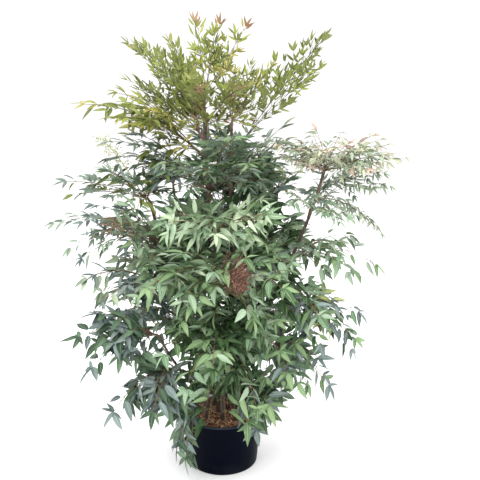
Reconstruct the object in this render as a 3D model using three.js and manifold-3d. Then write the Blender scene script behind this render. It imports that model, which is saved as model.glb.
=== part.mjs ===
// Heavenly bamboo, a many-caned evergreen shrub, growing in a black nursery pot.
// Millimetres, +Z up. The origin is the centre of the pot's flat underside.
// +X is the plant's right, -Y is its front.
//
// The pot holds a potting mix. Bare canes stand on the mix and lean apart. Each spray of foliage is one
// solid: a stem that starts 0.3 mm clear of its cane, the fronds that it forks into, their side
// twigs and their leaflets, all fused. Each spray keeps to its own space in the crown.
import * as THREE from "three";
import { mergeVertices } from "three/addons/utils/BufferGeometryUtils.js";
import Module from "manifold-3d";

const wasm = await Module();
wasm.setup();
const { Manifold } = wasm;

// ---- Driving dimensions ------------------------------------------------------------------------

const GAP = 0.3; // clearance between neighbouring solids
const UP = new THREE.Vector3(0, 0, 1);

const POT = {
  rimRadius: 120,
  footRadius: 104.5,
  height: 165,
  wall: 2.2,
  base: 3,
  footChamfer: 3,
  lipHeight: 6, // the rolled lip round the rim
  lipDepth: 2.6,
  lipRound: 0.7,
  facets: 30,
  drains: { count: 6, radius: 7, ring: 78, facets: 6 },
};
const MIX = { belowRim: 13, dome: 4, flatShare: 0.86 }; // it stops short of the rim, and rises to its middle
const MIX_TOP = POT.height - MIX.belowRim;

// Bare canes. foot and top are [x, y] at the mix and at the tip, height is the tip's height above the
// ground, bow is how far the middle of the cane bulges outwards, and radius is taken above the flare.
const CANE = {
  facets: 8,
  rings: [0, 0.05, 0.25, 0.45, 0.65, 0.85, 1],
  flare: 1.5, // at the foot
  tipShare: 0.62, // the tip's radius next to the foot's, without its flare
  uprightShare: 0.3, // how much of its height the cane's first, upright pull takes
  bowAt: 0.62,
};
const CANES = {
  main: { foot: [-10, 4], top: [-46, 0], height: 1085, radius: 7.5, bow: 6 },
  second: { foot: [24, 26], top: [28, 58], height: 1000, radius: 7, bow: 8 },
  right: { foot: [44, -6], top: [280, -48], height: 895, radius: 6.5, bow: 22 },
  left: { foot: [-46, 8], top: [-196, -12], height: 800, radius: 6.2, bow: 18 },
  front: { foot: [2, -44], top: [-14, -150], height: 740, radius: 6, bow: 14 },
  low_left: { foot: [-46, -40], top: [-165, -150], height: 455, radius: 5, bow: 16 },
  low_right: { foot: [42, -46], top: [185, -130], height: 540, radius: 5, bow: 18 },
  back_left: { foot: [-28, 46], top: [-150, 185], height: 800, radius: 6.2, bow: 18 },
  back_right: { foot: [36, 60], top: [165, 190], height: 770, radius: 6.2, bow: 18 },
  back: { foot: [2, 72], top: [8, 205], height: 540, radius: 5.4, bow: 14 },
};

// Leaflets by where they grow. Each stands for the few smaller ones of the living frond.
const LEAFLETS = {
  young: { length: 88, width: 27, hang: 0.02 },
  upper: { length: 104, width: 35, hang: 0.2 },
  middle: { length: 118, width: 42, hang: 0.4 },
  lower: { length: 124, width: 44, hang: 0.6 },
};
const LEAF = {
  thickness: 2, // at the root; it thins out to the edges and the tip
  widestAt: 0.42,
  fold: 0.12,
  curl: 0.1,
  notch: 0.09, // how far out two neighbouring leaflets of a trio part
  bladeFrom: 0.14, // the blade past this share of the length keeps off the spray's other blades and twigs
  centre: 0.55,
};

// How a spray grows. Lengths are shares of the frond's own length, and turns are in degrees.
const FROND = {
  stemRadius: 4.4, // or the cane's own radius, where that is less
  nest: 0.46, // a twig's radius next to what carries it: its three corners start inside the other's flats
  taper: 0.9,
  rings: [0, 0.34, 0.67, 1],
  forkShare: 0.15, // how much of the way to the tips the common stem runs
  forkStep: 1.5, // how far apart along the stem the fronds leave it, in stem radii
  nodes: [
    { at: 0.4, turn: 58, reach: 0.46, least: 0 }, // a pair of side twigs
    { at: 0.68, turn: 50, reach: 0.3, least: 370 }, // a second pair, on a frond at least this long
  ],
  trioTurn: 52, // the angle of the outer two leaflets of a trio
  trioSway: 4,
  trioShare: 0.84, // their length next to the middle one
  leafRoll: 22,
  lastNode: 0.9, // no twig joins the midrib past this, short of its trio
  stemRise: 0.35, // how much of the fronds' arch the stem has where it ends
  tipDrop: 0.6, // how far a frond's last trio hangs below its midrib, next to its other leaflets
  twigDrop: 0.3, // how far a side twig sags, next to its leaflets
  roll: 28,
  sway: 0.06, // how far a node may lie from its place
  turnSway: 7,
};

// Sprays, a row each: name, cane, the height at which it leaves the cane, or TIP, and how many fronds it
// has; then the first and the last frond's tip, by bearing round the pot's axis (0 is the right, 90 the
// back, 180 the left and 270 the front), reach from that axis and height above the ground, with the other
// tips evenly between; then how far the fronds arch, their leaflets, and, where it isn't 0, how far the
// fronds are rolled about their own length.
const TIP = 0;
const SPRAYS = [
  ["crown_tip", "main", TIP, 3, [180, 347], [72, 86], [1326, 1306], 0, "young", 80],
  ["crown_left", "main", 1035, 2, [180, 192], [268, 150], [1256, 1272], 14, "young", 55],
  ["crown_front", "main", 1000, 2, [252, 294], [225, 215], [1172, 1150], 45, "young"],
  ["crown_low_left", "main", 930, 2, [183, 206], [411, 330], [1096, 1070], 55, "upper", 20],
  ["crown_back_left", "main", 965, 2, [146, 122], [330, 262], [1120, 1200], 40, "upper"],
  ["crown_back", "second", TIP, 2, [50, 92], [250, 230], [1195, 1225], 20, "young"],
  ["crown_right", "second", 930, 2, [0, 346], [298, 290], [1276, 1200], 18, "young", -50],
  ["upper_left", "main", 835, 2, [189, 176], [335, 352], [1000, 935], 60, "upper"],
  ["upper_front", "main", 800, 3, [236, 304], [285, 290], [965, 960], 70, "upper"],
  ["upper_right", "second", 820, 2, [338, 28], [215, 235], [1015, 1040], 40, "upper"],
  ["upper_back", "second", 780, 2, [72, 108], [330, 335], [1000, 985], 55, "upper"],
  ["right_tip", "right", TIP, 3, [352, 357], [253, 480], [1036, 948], 22, "upper"],
  ["right_far", "right", 815, 2, [354, 347], [492, 470], [862, 726], 60, "upper"],
  ["right_front", "right", 770, 2, [308, 322], [285, 400], [850, 800], 60, "upper"],
  ["right_back", "right", 790, 2, [22, 38], [430, 400], [905, 790], 55, "upper"],
  ["right_inner", "right", 560, 2, [296, 316], [330, 390], [690, 540], 60, "middle"],
  ["right_low", "right", 640, 2, [342, 326], [480, 430], [655, 660], 75, "middle"],
  ["right_side", "right", 430, 2, [5, 24], [415, 400], [450, 470], 85, "middle"],
  ["left_tip", "left", TIP, 2, [180, 186], [474, 350], [872, 925], 30, "upper"],
  ["left_far", "left", 690, 2, [180, 196], [512, 460], [748, 700], 60, "upper"],
  ["left_back", "left", 640, 2, [160, 142], [445, 410], [780, 690], 60, "middle"],
  ["left_inner", "left", 600, 2, [236, 212], [330, 360], [700, 800], 60, "middle"],
  ["left_front", "left", 520, 2, [196, 216], [435, 425], [620, 580], 75, "middle"],
  ["left_side", "left", 420, 2, [176, 158], [405, 390], [430, 480], 85, "middle"],
  ["front_tip", "front", TIP, 3, [240, 298], [330, 325], [815, 840], 40, "middle"],
  ["front_mid", "front", 590, 3, [236, 300], [385, 385], [650, 655], 75, "middle"],
  ["front_low", "front", 430, 3, [243, 300], [375, 375], [470, 480], 90, "middle"],
  ["front_foot", "front", 290, 2, [261, 284], [300, 310], [318, 330], 80, "lower"],
  ["low_left_tip", "low_left", TIP, 2, [205, 211], [474, 450], [476, 375], 60, "middle"],
  ["low_left_hang", "low_left", 340, 2, [217, 235], [418, 350], [245, 250], 85, "lower"],
  ["pot_left_hang", "low_left", 262, 1, [252, 252], [315, 315], [118, 118], 90, "lower", 45],
  ["low_right_tip", "low_right", TIP, 2, [337, 331], [447, 450], [530, 455], 60, "middle"],
  ["low_right_hang", "low_right", 390, 2, [329, 313], [392, 342], [305, 330], 85, "lower"],
  ["pot_right_hang", "low_right", 275, 2, [285, 302], [270, 295], [208, 275], 70, "lower"],
  ["back_left_tip", "back_left", TIP, 2, [127, 106], [410, 395], [885, 865], 40, "middle"],
  ["back_left_mid", "back_left", 560, 2, [146, 122], [440, 430], [570, 640], 80, "middle"],
  ["back_right_tip", "back_right", TIP, 2, [52, 74], [415, 405], [860, 840], 40, "middle"],
  ["back_right_mid", "back_right", 540, 2, [33, 54], [445, 435], [575, 640], 80, "middle"],
  ["back_tip", "back", TIP, 3, [112, 68], [400, 400], [575, 560], 55, "middle"],
  ["back_low_left", "back", 350, 2, [146, 112], [380, 370], [330, 360], 90, "lower"],
  ["back_low_right", "back", 320, 2, [33, 66], [380, 370], [325, 345], 90, "lower"],
  ["core_left", "main", 590, 2, [205, 165], [255, 260], [660, 600], 60, "middle"],
  ["core_right", "second", 560, 2, [335, 12], [250, 265], [640, 690], 60, "middle"],
  ["core_back", "second", 660, 2, [70, 110], [290, 290], [760, 740], 60, "middle"],
].map(([name, cane, from, fronds, bearing, reach, height, arch, leaf, roll = 0]) => {
  return { name, cane, from, fronds, bearing, reach, height, arch, leaf, roll };
});

// Panicles, the branched heads that carried last season's flowers and berries.
const PANICLE = {
  stalkRadius: 2.2,
  arch: 0.12, // how far the stalk arches, as a share of its length
  armRadius: 1,
  bud: 5,
  arms: 3,
  whorls: [
    { at: 0.68, reach: 43, turn: 0 },
    { at: 0.92, reach: 18, turn: 70 },
  ],
  lean: 0.5, // how far the arms lean forwards
};
const PANICLES = [
  { name: "panicle_front", cane: "front", from: 640, bearing: 281, reach: 300, height: 668, finish: "berry" },
  { name: "panicle_left", cane: "left", from: 745, bearing: 202, reach: 318, height: 762, finish: "berry" },
  { name: "panicle_pale", cane: "left", from: 775, bearing: 172, reach: 345, height: 985, finish: "bud" },
];

// Finishes: colour, roughness.
const FINISHES = {
  pot: [0x14171c, 0.45],
  mix: [0x6e3b22, 0.95],
  cane: [0x5b4232, 0.85],
  young: [0x8aa04e, 0.55],
  upper: [0x5f8560, 0.5],
  middle: [0x6a9463, 0.5],
  lower: [0x4f7659, 0.5],
  berry: [0x9a4a3a, 0.8],
  bud: [0xc2c08a, 0.7],
};

// ---- Helpers -----------------------------------------------------------------------------------

const radians = THREE.MathUtils.degToRad;
const mix = THREE.MathUtils.lerp;
const vec = (x, y, z) => new THREE.Vector3(x, y, z);

// A number from -1 to 1 that depends only on its two keys: an integer hash.
function dealt(seed, key) {
  let x = Math.imul(seed * 7919 + key * 10007 + 12345, 0x9e3779b1) >>> 0;
  x = Math.imul(x ^ (x >>> 15), 0x85ebca77) >>> 0;
  x = Math.imul(x ^ (x >>> 13), 0xc2b2ae3d) >>> 0;
  return ((x ^ (x >>> 16)) >>> 0) / 2147483648 - 1;
}

// A point given by its bearing, its reach from the pot's axis and its height.
function polar(bearing, reach, height) {
  const a = radians(bearing);
  return vec(reach * Math.cos(a), reach * Math.sin(a), height);
}

function solidOf(geometry) {
  const bare = geometry.clone();
  bare.deleteAttribute("normal");
  bare.deleteAttribute("uv");
  const merged = mergeVertices(bare, 1e-4);
  return new Manifold(
    new wasm.Mesh({
      numProp: 3,
      vertProperties: merged.attributes.position.array,
      triVerts: new Uint32Array(merged.index.array),
    }),
  );
}

function geometryOf(solid) {
  const mesh = solid.getMesh();
  const geometry = new THREE.BufferGeometry();
  geometry.setAttribute("position", new THREE.BufferAttribute(mesh.vertProperties, 3));
  geometry.setIndex(new THREE.BufferAttribute(mesh.triVerts, 1));
  geometry.computeVertexNormals();
  return geometry;
}

function geometryFrom(points, faces) {
  const geometry = new THREE.BufferGeometry().setFromPoints(points);
  geometry.setIndex(faces.flat());
  return geometry;
}

// A cane's or a twig's line: straight chords between places on a curve. Its tube follows the same chords,
// so what is rooted on the line is rooted inside the tube. Its rings have their first corner towards top.
class Line {
  constructor(curve, rings, top) {
    this.rings = rings;
    this.top = top;
    this.knots = rings.map((share) => curve.getPointAt(share));
    this.tangents = rings.map((share) => curve.getTangentAt(share));
  }

  // The value at a share of the length, between the two knots on either side.
  between(values, share) {
    const next = Math.max(1, this.rings.findIndex((ring) => ring >= share));
    const [low, high] = [this.rings[next - 1], this.rings[next]];
    return values[next - 1].clone().lerp(values[next], (share - low) / (high - low));
  }

  pointAt(share) {
    return this.between(this.knots, share);
  }

  // The way the line runs at a share of its length, the way up from it, and the way to its right.
  frameAt(share) {
    const along = this.between(this.tangents, share).normalize();
    const right = along.clone().cross(this.top).normalize();
    return { along, right, up: right.clone().cross(along) };
  }

  points(count) {
    return Array.from({ length: count + 1 }, (_, k) => this.pointAt(k / count));
  }
}

// The corners and side faces of a tapering tube along a line, with a ring at each knot.
function tubeSides(line, sides, radiusAt) {
  const points = [];
  const faces = [];
  for (const [i, share] of line.rings.entries()) {
    const { up, right } = line.frameAt(share);
    for (let k = 0; k < sides; k++) {
      const a = (2 * Math.PI * k) / sides;
      const corner = line.knots[i].clone().addScaledVector(up, radiusAt(share) * Math.cos(a));
      points.push(corner.addScaledVector(right, radiusAt(share) * Math.sin(a)));
      if (share === 1) continue;
      const here = i * sides + k;
      const next = i * sides + ((k + 1) % sides);
      faces.push([here, next, next + sides], [here, next + sides, here + sides]);
    }
  }
  for (let k = 1; k < sides - 1; k++) faces.push([0, k + 1, k]);
  return { points, faces, last: points.length - sides };
}

// A closed tube with a flat face at each end.
function tube(line, sides, radiusAt) {
  const { points, faces, last } = tubeSides(line, sides, radiusAt);
  for (let k = 1; k < sides - 1; k++) faces.push([last, last + k, last + k + 1]);
  return geometryFrom(points, faces);
}

function largestPart(solid) {
  return solid.decompose().reduce((a, b) => (b.volume() > a.volume() ? b : a));
}

// ---- Pot and potting mix -----------------------------------------------------------------------

// The pot's outer radius below its lip, at a height above its underside.
function potRadius(height) {
  return mix(POT.footRadius, POT.rimRadius - POT.lipDepth, height / POT.height);
}

function lathe(profile) {
  const outline = profile.map(([r, z]) => new THREE.Vector2(r, z));
  return new THREE.LatheGeometry(outline, POT.facets).rotateX(Math.PI / 2);
}

function potSolid() {
  const top = POT.height;
  const shell = lathe([
    [0, 0],
    [POT.footRadius - POT.footChamfer, 0],
    [potRadius(POT.footChamfer), POT.footChamfer],
    [potRadius(top - POT.lipHeight), top - POT.lipHeight],
    [POT.rimRadius - POT.lipRound, top - POT.lipHeight],
    [POT.rimRadius, top - POT.lipHeight / 2],
    [POT.rimRadius - POT.lipRound, top],
    [potRadius(top) - POT.wall + POT.lipRound, top],
    [potRadius(POT.base) - POT.wall, POT.base],
    [0, POT.base],
  ]);
  const { count, radius, ring, facets } = POT.drains;
  let pot = solidOf(shell);
  for (let k = 0; k < count; k++) {
    const hole = new THREE.CylinderGeometry(radius, radius, 3 * POT.base, facets).rotateX(Math.PI / 2);
    const at = polar((360 * k) / count, ring, 0);
    pot = pot.subtract(solidOf(hole.translate(at.x, at.y, at.z)));
  }
  return pot;
}

function mixSolid() {
  const insideAt = (z) => potRadius(z) - POT.wall - GAP;
  return solidOf(
    lathe([
      [0, POT.base + GAP],
      [insideAt(POT.base), POT.base + GAP],
      [insideAt(MIX_TOP - MIX.dome), MIX_TOP - MIX.dome],
      [insideAt(MIX_TOP) * MIX.flatShare, MIX_TOP],
      [0, MIX_TOP],
    ]),
  );
}

// ---- Canes -------------------------------------------------------------------------------------

// A cane leaves the mix upright, then leans and bows outwards.
function caneLine({ foot, top, height, bow }) {
  const start = vec(...foot, MIX_TOP + GAP);
  const end = vec(...top, height);
  const outwards = vec(end.x - start.x, end.y - start.y, 0).normalize();
  const rise = vec(start.x, start.y, mix(start.z, end.z, CANE.uprightShare));
  const middle = start.clone().lerp(end, CANE.bowAt).addScaledVector(outwards, bow);
  return new Line(new THREE.CubicBezierCurve3(start, rise, middle, end), CANE.rings, vec(0, 1, 0));
}

// A cane's radius along it, with its flare at the foot.
function caneRadius({ radius }, share) {
  return radius * (share === 0 ? CANE.flare : mix(1, CANE.tipShare, share));
}

function caneSolid(cane, swell = 0) {
  return solidOf(tube(caneLine(cane), CANE.facets, (share) => caneRadius(cane, share) + swell));
}

// How far along its line a cane reaches a height.
function shareAtHeight(line, height) {
  let [low, high] = [0, 1];
  for (let i = 0; i < 30; i++) {
    const middle = (low + high) / 2;
    if (line.pointAt(middle).z < height) low = middle;
    else high = middle;
  }
  return high;
}

// ---- Sprays ------------------------------------------------------------------------------------

// A leaflet's outline past its root: its right edge, its tip and its left edge, seen from above. It is
// folded along its midrib and curled down to its tip.
function outline({ at, along, normal, length, width }, swell = 0) {
  const across = along.clone().cross(normal).normalize();
  const edge = (sign) =>
    at
      .clone()
      .addScaledVector(along, length * LEAF.widestAt)
      .addScaledVector(across, sign * (width / 2 + swell))
      .addScaledVector(normal, width * LEAF.fold);
  const tip = at.clone().addScaledVector(along, length + swell).addScaledVector(normal, -length * LEAF.curl);
  return [edge(1), tip, edge(-1)];
}

// A leaflet by itself, from a share of its length on: six faces, swollen to test what it would meet.
function leafletSolid(leaf, from, swell) {
  const cut = leaf.length * from;
  const at = leaf.at.clone().addScaledVector(leaf.along, cut);
  const deep = LEAF.thickness / 2 + swell;
  const points = [
    at.clone().addScaledVector(leaf.normal, deep),
    at.clone().addScaledVector(leaf.normal, -deep),
    ...outline({ ...leaf, at, length: leaf.length - cut }, swell),
  ];
  const [ABOVE, BELOW, RIGHT, TIP, LEFT] = [0, 1, 2, 3, 4];
  return solidOf(
    geometryFrom(points, [
      [ABOVE, RIGHT, TIP],
      [ABOVE, TIP, LEFT],
      [ABOVE, LEFT, BELOW],
      [BELOW, TIP, RIGHT],
      [BELOW, LEFT, TIP],
      [BELOW, RIGHT, ABOVE],
    ]),
  );
}

// A three-sided twig that ends in leaflets, as one closed body. The leaflets' rims run on from the twig's
// right corner round each leaflet to its left corner, with a notch between neighbours. Faces fan out to the
// rim from the twig's top corner, and below from a point under its end.
function sprigSolid(line, radius, leaflets) {
  const { points, faces, last } = tubeSides(line, 3, (share) => radius * mix(1, FROND.taper, share));
  const [TOP, RIGHT, LEFT, BELOW] = [last, last + 1, last + 2, last + 3];
  const { along, up } = line.frameAt(1);
  const end = line.pointAt(1);
  points.push(end.clone().addScaledVector(along, radius).addScaledVector(up, radius - LEAF.thickness));
  const rim = [RIGHT];
  for (const [k, leaf] of leaflets.entries()) {
    if (k > 0) {
      const between = leaf.along.clone().add(leaflets[k - 1].along).normalize();
      rim.push(points.push(end.clone().addScaledVector(between, leaf.length * LEAF.notch)) - 1);
    }
    for (const corner of outline(leaf)) rim.push(points.push(corner) - 1);
  }
  rim.push(LEFT);
  for (let k = 1; k < rim.length; k++) {
    faces.push([TOP, rim[k - 1], rim[k]], [BELOW, rim[k], rim[k - 1]]);
  }
  faces.push([BELOW, RIGHT, LEFT]);
  return solidOf(geometryFrom(points, faces));
}

// A line that sags or arches: its middle is raised by lift.
function arched(start, end, lift, rings, top = UP) {
  const middle = start.clone().lerp(end, 0.5).addScaledVector(UP, lift);
  return new Line(new THREE.QuadraticBezierCurve3(start, middle, end), rings, top);
}

function leaflet(at, along, normal, leaf, size, roll) {
  const hung = along.clone().addScaledVector(UP, -leaf.hang).normalize();
  const face = normal.clone().addScaledVector(hung, -normal.dot(hung)).normalize();
  face.applyAxisAngle(hung, radians(roll));
  return { at, along: hung, normal: face, length: leaf.length * size, width: leaf.width * size };
}

// The three leaflets at the end of a twig, from right to left: one to each side, and one ahead.
function trio(line, ahead, leaf, seed) {
  const { right, up } = line.frameAt(1);
  return [1, 0, -1].map((side) => {
    const turn = radians(FROND.trioTurn * side + FROND.trioSway * dealt(seed, side + 1));
    const along = ahead.clone().multiplyScalar(Math.cos(turn)).addScaledVector(right, Math.sin(turn));
    const roll = FROND.leafRoll * dealt(seed, side + 5);
    return leaflet(line.pointAt(1), along, up, leaf, side ? FROND.trioShare : 1, roll);
  });
}

// One frond: its midrib and its side twigs, each with its trio. The frond is a flat spray, rolled a little
// about its own length.
function frondPlan(start, tip, { arch, roll }, leaf, seed) {
  const whole = start.distanceTo(tip);
  const chord = tip.clone().sub(start).normalize();
  const top = vec(chord.y, -chord.x, 0).cross(chord).normalize();
  top.applyAxisAngle(chord, radians(roll + FROND.roll * dealt(seed, 3)));
  const end = start.clone().lerp(tip, 1 - leaf.length / whole);
  end.addScaledVector(UP, leaf.hang * leaf.length * FROND.tipDrop);
  const midrib = arched(start, end, arch, FROND.rings, top);
  const ahead = tip.clone().sub(end).normalize();
  const sprigs = [{ line: midrib, leaflets: trio(midrib, ahead, { ...leaf, hang: 0 }, seed + 7) }];
  for (const [n, node] of FROND.nodes.entries()) {
    if (whole < node.least) continue;
    const length = node.reach * whole - leaf.length * LEAF.centre;
    const place = (node.at * whole) / (whole - leaf.length) + FROND.sway * dealt(seed, 10 + n);
    const share = Math.min(place, FROND.lastNode);
    const at = midrib.pointAt(share);
    const { along, right } = midrib.frameAt(share);
    for (const side of [-1, 1]) {
      const turn = radians(node.turn + FROND.turnSway * dealt(seed, 20 + 2 * n + side)) * side;
      const out = along.clone().multiplyScalar(Math.cos(turn)).addScaledVector(right, Math.sin(turn));
      const goal = at.clone().addScaledVector(out, length);
      goal.addScaledVector(UP, -leaf.hang * length * FROND.twigDrop);
      const line = arched(at, goal, 0, [0, 1], top);
      sprigs.push({ line, leaflets: trio(line, line.frameAt(1).along, leaf, seed + 31 * (n + 1) + side) });
    }
  }
  return sprigs;
}

// A spray's plan: the stem out of its cane, and its fronds. Out of a cane's tip the stem starts straight
// ahead, so that its end lies flat against the cane's.
function sprayPlan(spray, index) {
  const cane = CANES[spray.cane];
  const carrier = caneLine(cane);
  const atTip = spray.from === TIP;
  const share = atTip ? 1 : shareAtHeight(carrier, spray.from);
  const leaf = LEAFLETS[spray.leaf];
  const ends = [0, 1].map((k) => polar(spray.bearing[k], spray.reach[k], spray.height[k]));
  const tips = Array.from({ length: spray.fronds }, (_, k) =>
    ends[0].clone().lerp(ends[1], spray.fronds > 1 ? k / (spray.fronds - 1) : 0),
  );
  const centre = tips.reduce((sum, tip) => sum.add(tip), vec(0, 0, 0)).divideScalar(tips.length);
  const ahead = carrier.frameAt(share).along;
  const root = carrier.pointAt(share);
  if (atTip) root.addScaledVector(ahead, GAP);
  const end = root.clone().lerp(centre, FROND.forkShare);
  end.addScaledVector(UP, spray.arch * FROND.stemRise);
  const long = root.distanceTo(end);
  const bend = root.clone().lerp(end, 0.5);
  if (atTip) bend.copy(root).addScaledVector(ahead, long / 2);
  const stemCurve = new THREE.QuadraticBezierCurve3(root, bend, end);
  const stem = new Line(stemCurve, atTip ? [0, 0.5, 1] : [0, 1], vec(0, 1, 0));
  const radius = Math.min(FROND.stemRadius, caneRadius(cane, share));
  const fronds = tips.map((tip, k) => {
    const start = stem.pointAt(1 - (radius * (1 + FROND.forkStep * k)) / long);
    return frondPlan(start, tip, spray, leaf, 100 * index + 10 * k);
  });
  return { name: spray.name, cane, finish: spray.leaf, radius, stem, fronds };
}

// Points along a spray's twigs and leaflets. A place belongs to the spray whose points are nearest.
function sprayPoints(plan) {
  const sprigs = plan.fronds.flat();
  return [
    ...plan.stem.points(3),
    ...sprigs.flatMap((sprig) => sprig.line.points(sprig.line.knots.length > 2 ? 10 : 4)),
    ...sprigs.flatMap((sprig) =>
      sprig.leaflets.map((leaf) => leaf.at.clone().addScaledVector(leaf.along, leaf.length * LEAF.centre)),
    ),
  ];
}

function nearest(points, place) {
  return points.reduce((least, point) => Math.min(least, point.distanceToSquared(place)), Infinity);
}

// Whether a leaflet's middle and tip lie in its own spray's share of the crown.
function inOwnSpace(leaf, own, others) {
  return [0.4, 0.98].every((share) => {
    const place = leaf.at.clone().addScaledVector(leaf.along, leaf.length * share);
    return others.every((points) => nearest(points, place) > nearest(own, place));
  });
}

// Keeps what has been built, so that each new twig or leaflet can be kept clear of it.
class Crown {
  constructor() {
    this.built = [];
  }

  add(solid) {
    this.built.push({ solid, box: Crown.boxOf(solid) });
  }

  static boxOf(solid) {
    const { min, max } = solid.boundingBox();
    return new THREE.Box3(vec(...min), vec(...max));
  }

  // Whether a twig or leaflet, swollen by the gap that it keeps, meets nothing.
  clear(swollen) {
    const box = Crown.boxOf(swollen);
    const near = this.built.filter((piece) => piece.box.intersectsBox(box));
    return near.every((piece) => piece.solid.intersect(swollen).isEmpty());
  }
}

// Fuses a spray. A twig or leaflet that would meet another part is skipped, with what it carries, and so
// is a leaflet that leaves the spray's own space or crosses its own twigs or leaflets.
function spraySolid(plan, plans, crown) {
  const others = plans.filter((other) => other !== plan).map((other) => other.points);
  const own = new Crown();
  const grown = [];
  for (const [midrib, ...twigs] of plan.fronds) {
    const radius = plan.radius * FROND.nest;
    for (const sprig of [midrib, ...twigs]) {
      const thick = sprig === midrib ? radius : radius * FROND.nest * FROND.taper;
      const bare = (swell) => solidOf(tube(sprig.line, 3, () => thick + 2 * swell));
      if (crown.clear(bare(GAP))) {
        own.add(bare(0));
        grown.push({ ...sprig, thick });
      } else if (sprig === midrib) break;
    }
  }
  const kept = [solidOf(tube(plan.stem, 3, () => plan.radius))];
  for (const { line, thick, leaflets } of grown) {
    const held = leaflets.filter((leaf) => {
      const blade = leafletSolid(leaf, LEAF.bladeFrom, 0);
      const fits =
        inOwnSpace(leaf, plan.points, others) && own.clear(blade) && crown.clear(leafletSolid(leaf, 0, GAP));
      if (fits) own.add(blade);
      return fits;
    });
    kept.push(sprigSolid(line, thick, held));
  }
  const solid = largestPart(Manifold.union(kept).subtract(caneSolid(plan.cane, GAP)));
  crown.add(solid);
  return solid;
}

// ---- Panicles ----------------------------------------------------------------------------------

// An eight-faced bud or dried berry.
function budSolid(at) {
  return solidOf(new THREE.OctahedronGeometry(PANICLE.bud).translate(at.x, at.y, at.z));
}

function panicleSolid(head, crown) {
  const cane = CANES[head.cane];
  const carrier = caneLine(cane);
  const root = carrier.pointAt(shareAtHeight(carrier, head.from));
  const tip = polar(head.bearing, head.reach, head.height);
  const stalk = arched(root, tip, PANICLE.arch * root.distanceTo(tip), FROND.rings);
  const kept = [solidOf(tube(stalk, 3, () => PANICLE.stalkRadius)), budSolid(tip)];
  for (const whorl of PANICLE.whorls) {
    const at = stalk.pointAt(whorl.at);
    const { along, right } = stalk.frameAt(whorl.at);
    for (let arm = 0; arm < PANICLE.arms; arm++) {
      const turn = radians((360 * arm) / PANICLE.arms + whorl.turn);
      const out = right.clone().applyAxisAngle(along, turn).addScaledVector(along, PANICLE.lean).normalize();
      const end = at.clone().addScaledVector(out, whorl.reach);
      kept.push(solidOf(tube(arched(at, end, 0, [0, 1], along), 3, () => PANICLE.armRadius)));
      kept.push(budSolid(end));
    }
  }
  const solid = largestPart(Manifold.union(kept).subtract(caneSolid(cane, GAP)));
  crown.add(solid);
  return solid;
}

// ---- The plant ---------------------------------------------------------------------------------

const root = new THREE.Group();

function addPart(name, solid, finish) {
  const [color, roughness] = FINISHES[finish];
  const material = new THREE.MeshStandardMaterial({ color, roughness, metalness: 0 });
  const mesh = new THREE.Mesh(geometryOf(solid), material);
  mesh.name = name;
  root.add(mesh);
}

const crown = new Crown();
const pot = potSolid();
crown.add(pot);
addPart("pot", pot, "pot");
const pottingMix = mixSolid();
crown.add(pottingMix);
addPart("potting_mix", pottingMix, "mix");
for (const [name, cane] of Object.entries(CANES)) {
  const solid = caneSolid(cane);
  crown.add(solid);
  addPart("cane_" + name, solid, "cane");
}
for (const head of PANICLES) addPart(head.name, panicleSolid(head, crown), head.finish);

const plans = SPRAYS.map(sprayPlan);
for (const plan of plans) plan.points = sprayPoints(plan);
for (const plan of plans) addPart(plan.name, spraySolid(plan, plans, crown), plan.finish);

export default root;
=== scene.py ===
"""Heavenly bamboo in a black nursery pot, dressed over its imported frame.

Metres, +Z up. The origin is the centre of the pot's flat underside, +X is the plant's right and -Y is
its front. The canes and the sprays of foliage grow by the same rule as the frame's solids, carried on to
finer twigs and to leaflets of their living size.
"""

import logging
import math
from dataclasses import dataclass, field, replace
from enum import Enum
from typing import Any, Sequence

import bpy
import numpy as np
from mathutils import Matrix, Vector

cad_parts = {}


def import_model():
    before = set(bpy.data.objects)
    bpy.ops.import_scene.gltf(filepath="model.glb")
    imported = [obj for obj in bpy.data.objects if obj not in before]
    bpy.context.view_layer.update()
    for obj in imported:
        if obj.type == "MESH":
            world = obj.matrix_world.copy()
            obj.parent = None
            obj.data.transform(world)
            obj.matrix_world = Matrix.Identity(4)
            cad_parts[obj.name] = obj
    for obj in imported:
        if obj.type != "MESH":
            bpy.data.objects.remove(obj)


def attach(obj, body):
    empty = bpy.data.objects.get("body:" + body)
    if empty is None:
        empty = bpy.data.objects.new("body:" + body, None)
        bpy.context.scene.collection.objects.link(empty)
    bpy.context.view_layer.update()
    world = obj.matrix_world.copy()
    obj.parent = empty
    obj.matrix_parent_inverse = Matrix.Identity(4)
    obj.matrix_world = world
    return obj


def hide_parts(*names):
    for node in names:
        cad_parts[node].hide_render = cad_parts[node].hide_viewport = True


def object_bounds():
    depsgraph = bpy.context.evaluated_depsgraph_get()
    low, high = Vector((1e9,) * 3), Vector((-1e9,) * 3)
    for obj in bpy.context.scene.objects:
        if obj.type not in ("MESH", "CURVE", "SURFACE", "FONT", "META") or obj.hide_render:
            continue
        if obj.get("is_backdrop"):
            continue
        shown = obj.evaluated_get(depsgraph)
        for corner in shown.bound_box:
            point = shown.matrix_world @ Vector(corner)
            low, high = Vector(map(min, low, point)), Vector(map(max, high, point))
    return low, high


Array = np.ndarray
Material = bpy.types.Material
Node = bpy.types.Node
NodeTree = bpy.types.NodeTree
Socket = bpy.types.NodeSocket
MM = 0.001
UP = np.array([0.0, 0.0, 1.0])
GOLDEN_TURN = math.pi * (3 - math.sqrt(5))
LOG = logging.getLogger("heavenly_bamboo")


# ---- Helpers -----------------------------------------------------------------------------------------


def unit(vectors: Array) -> Array:
    """Each vector along the last axis, divided by its own length."""
    return vectors / np.linalg.norm(vectors, axis=-1, keepdims=True)


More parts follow.
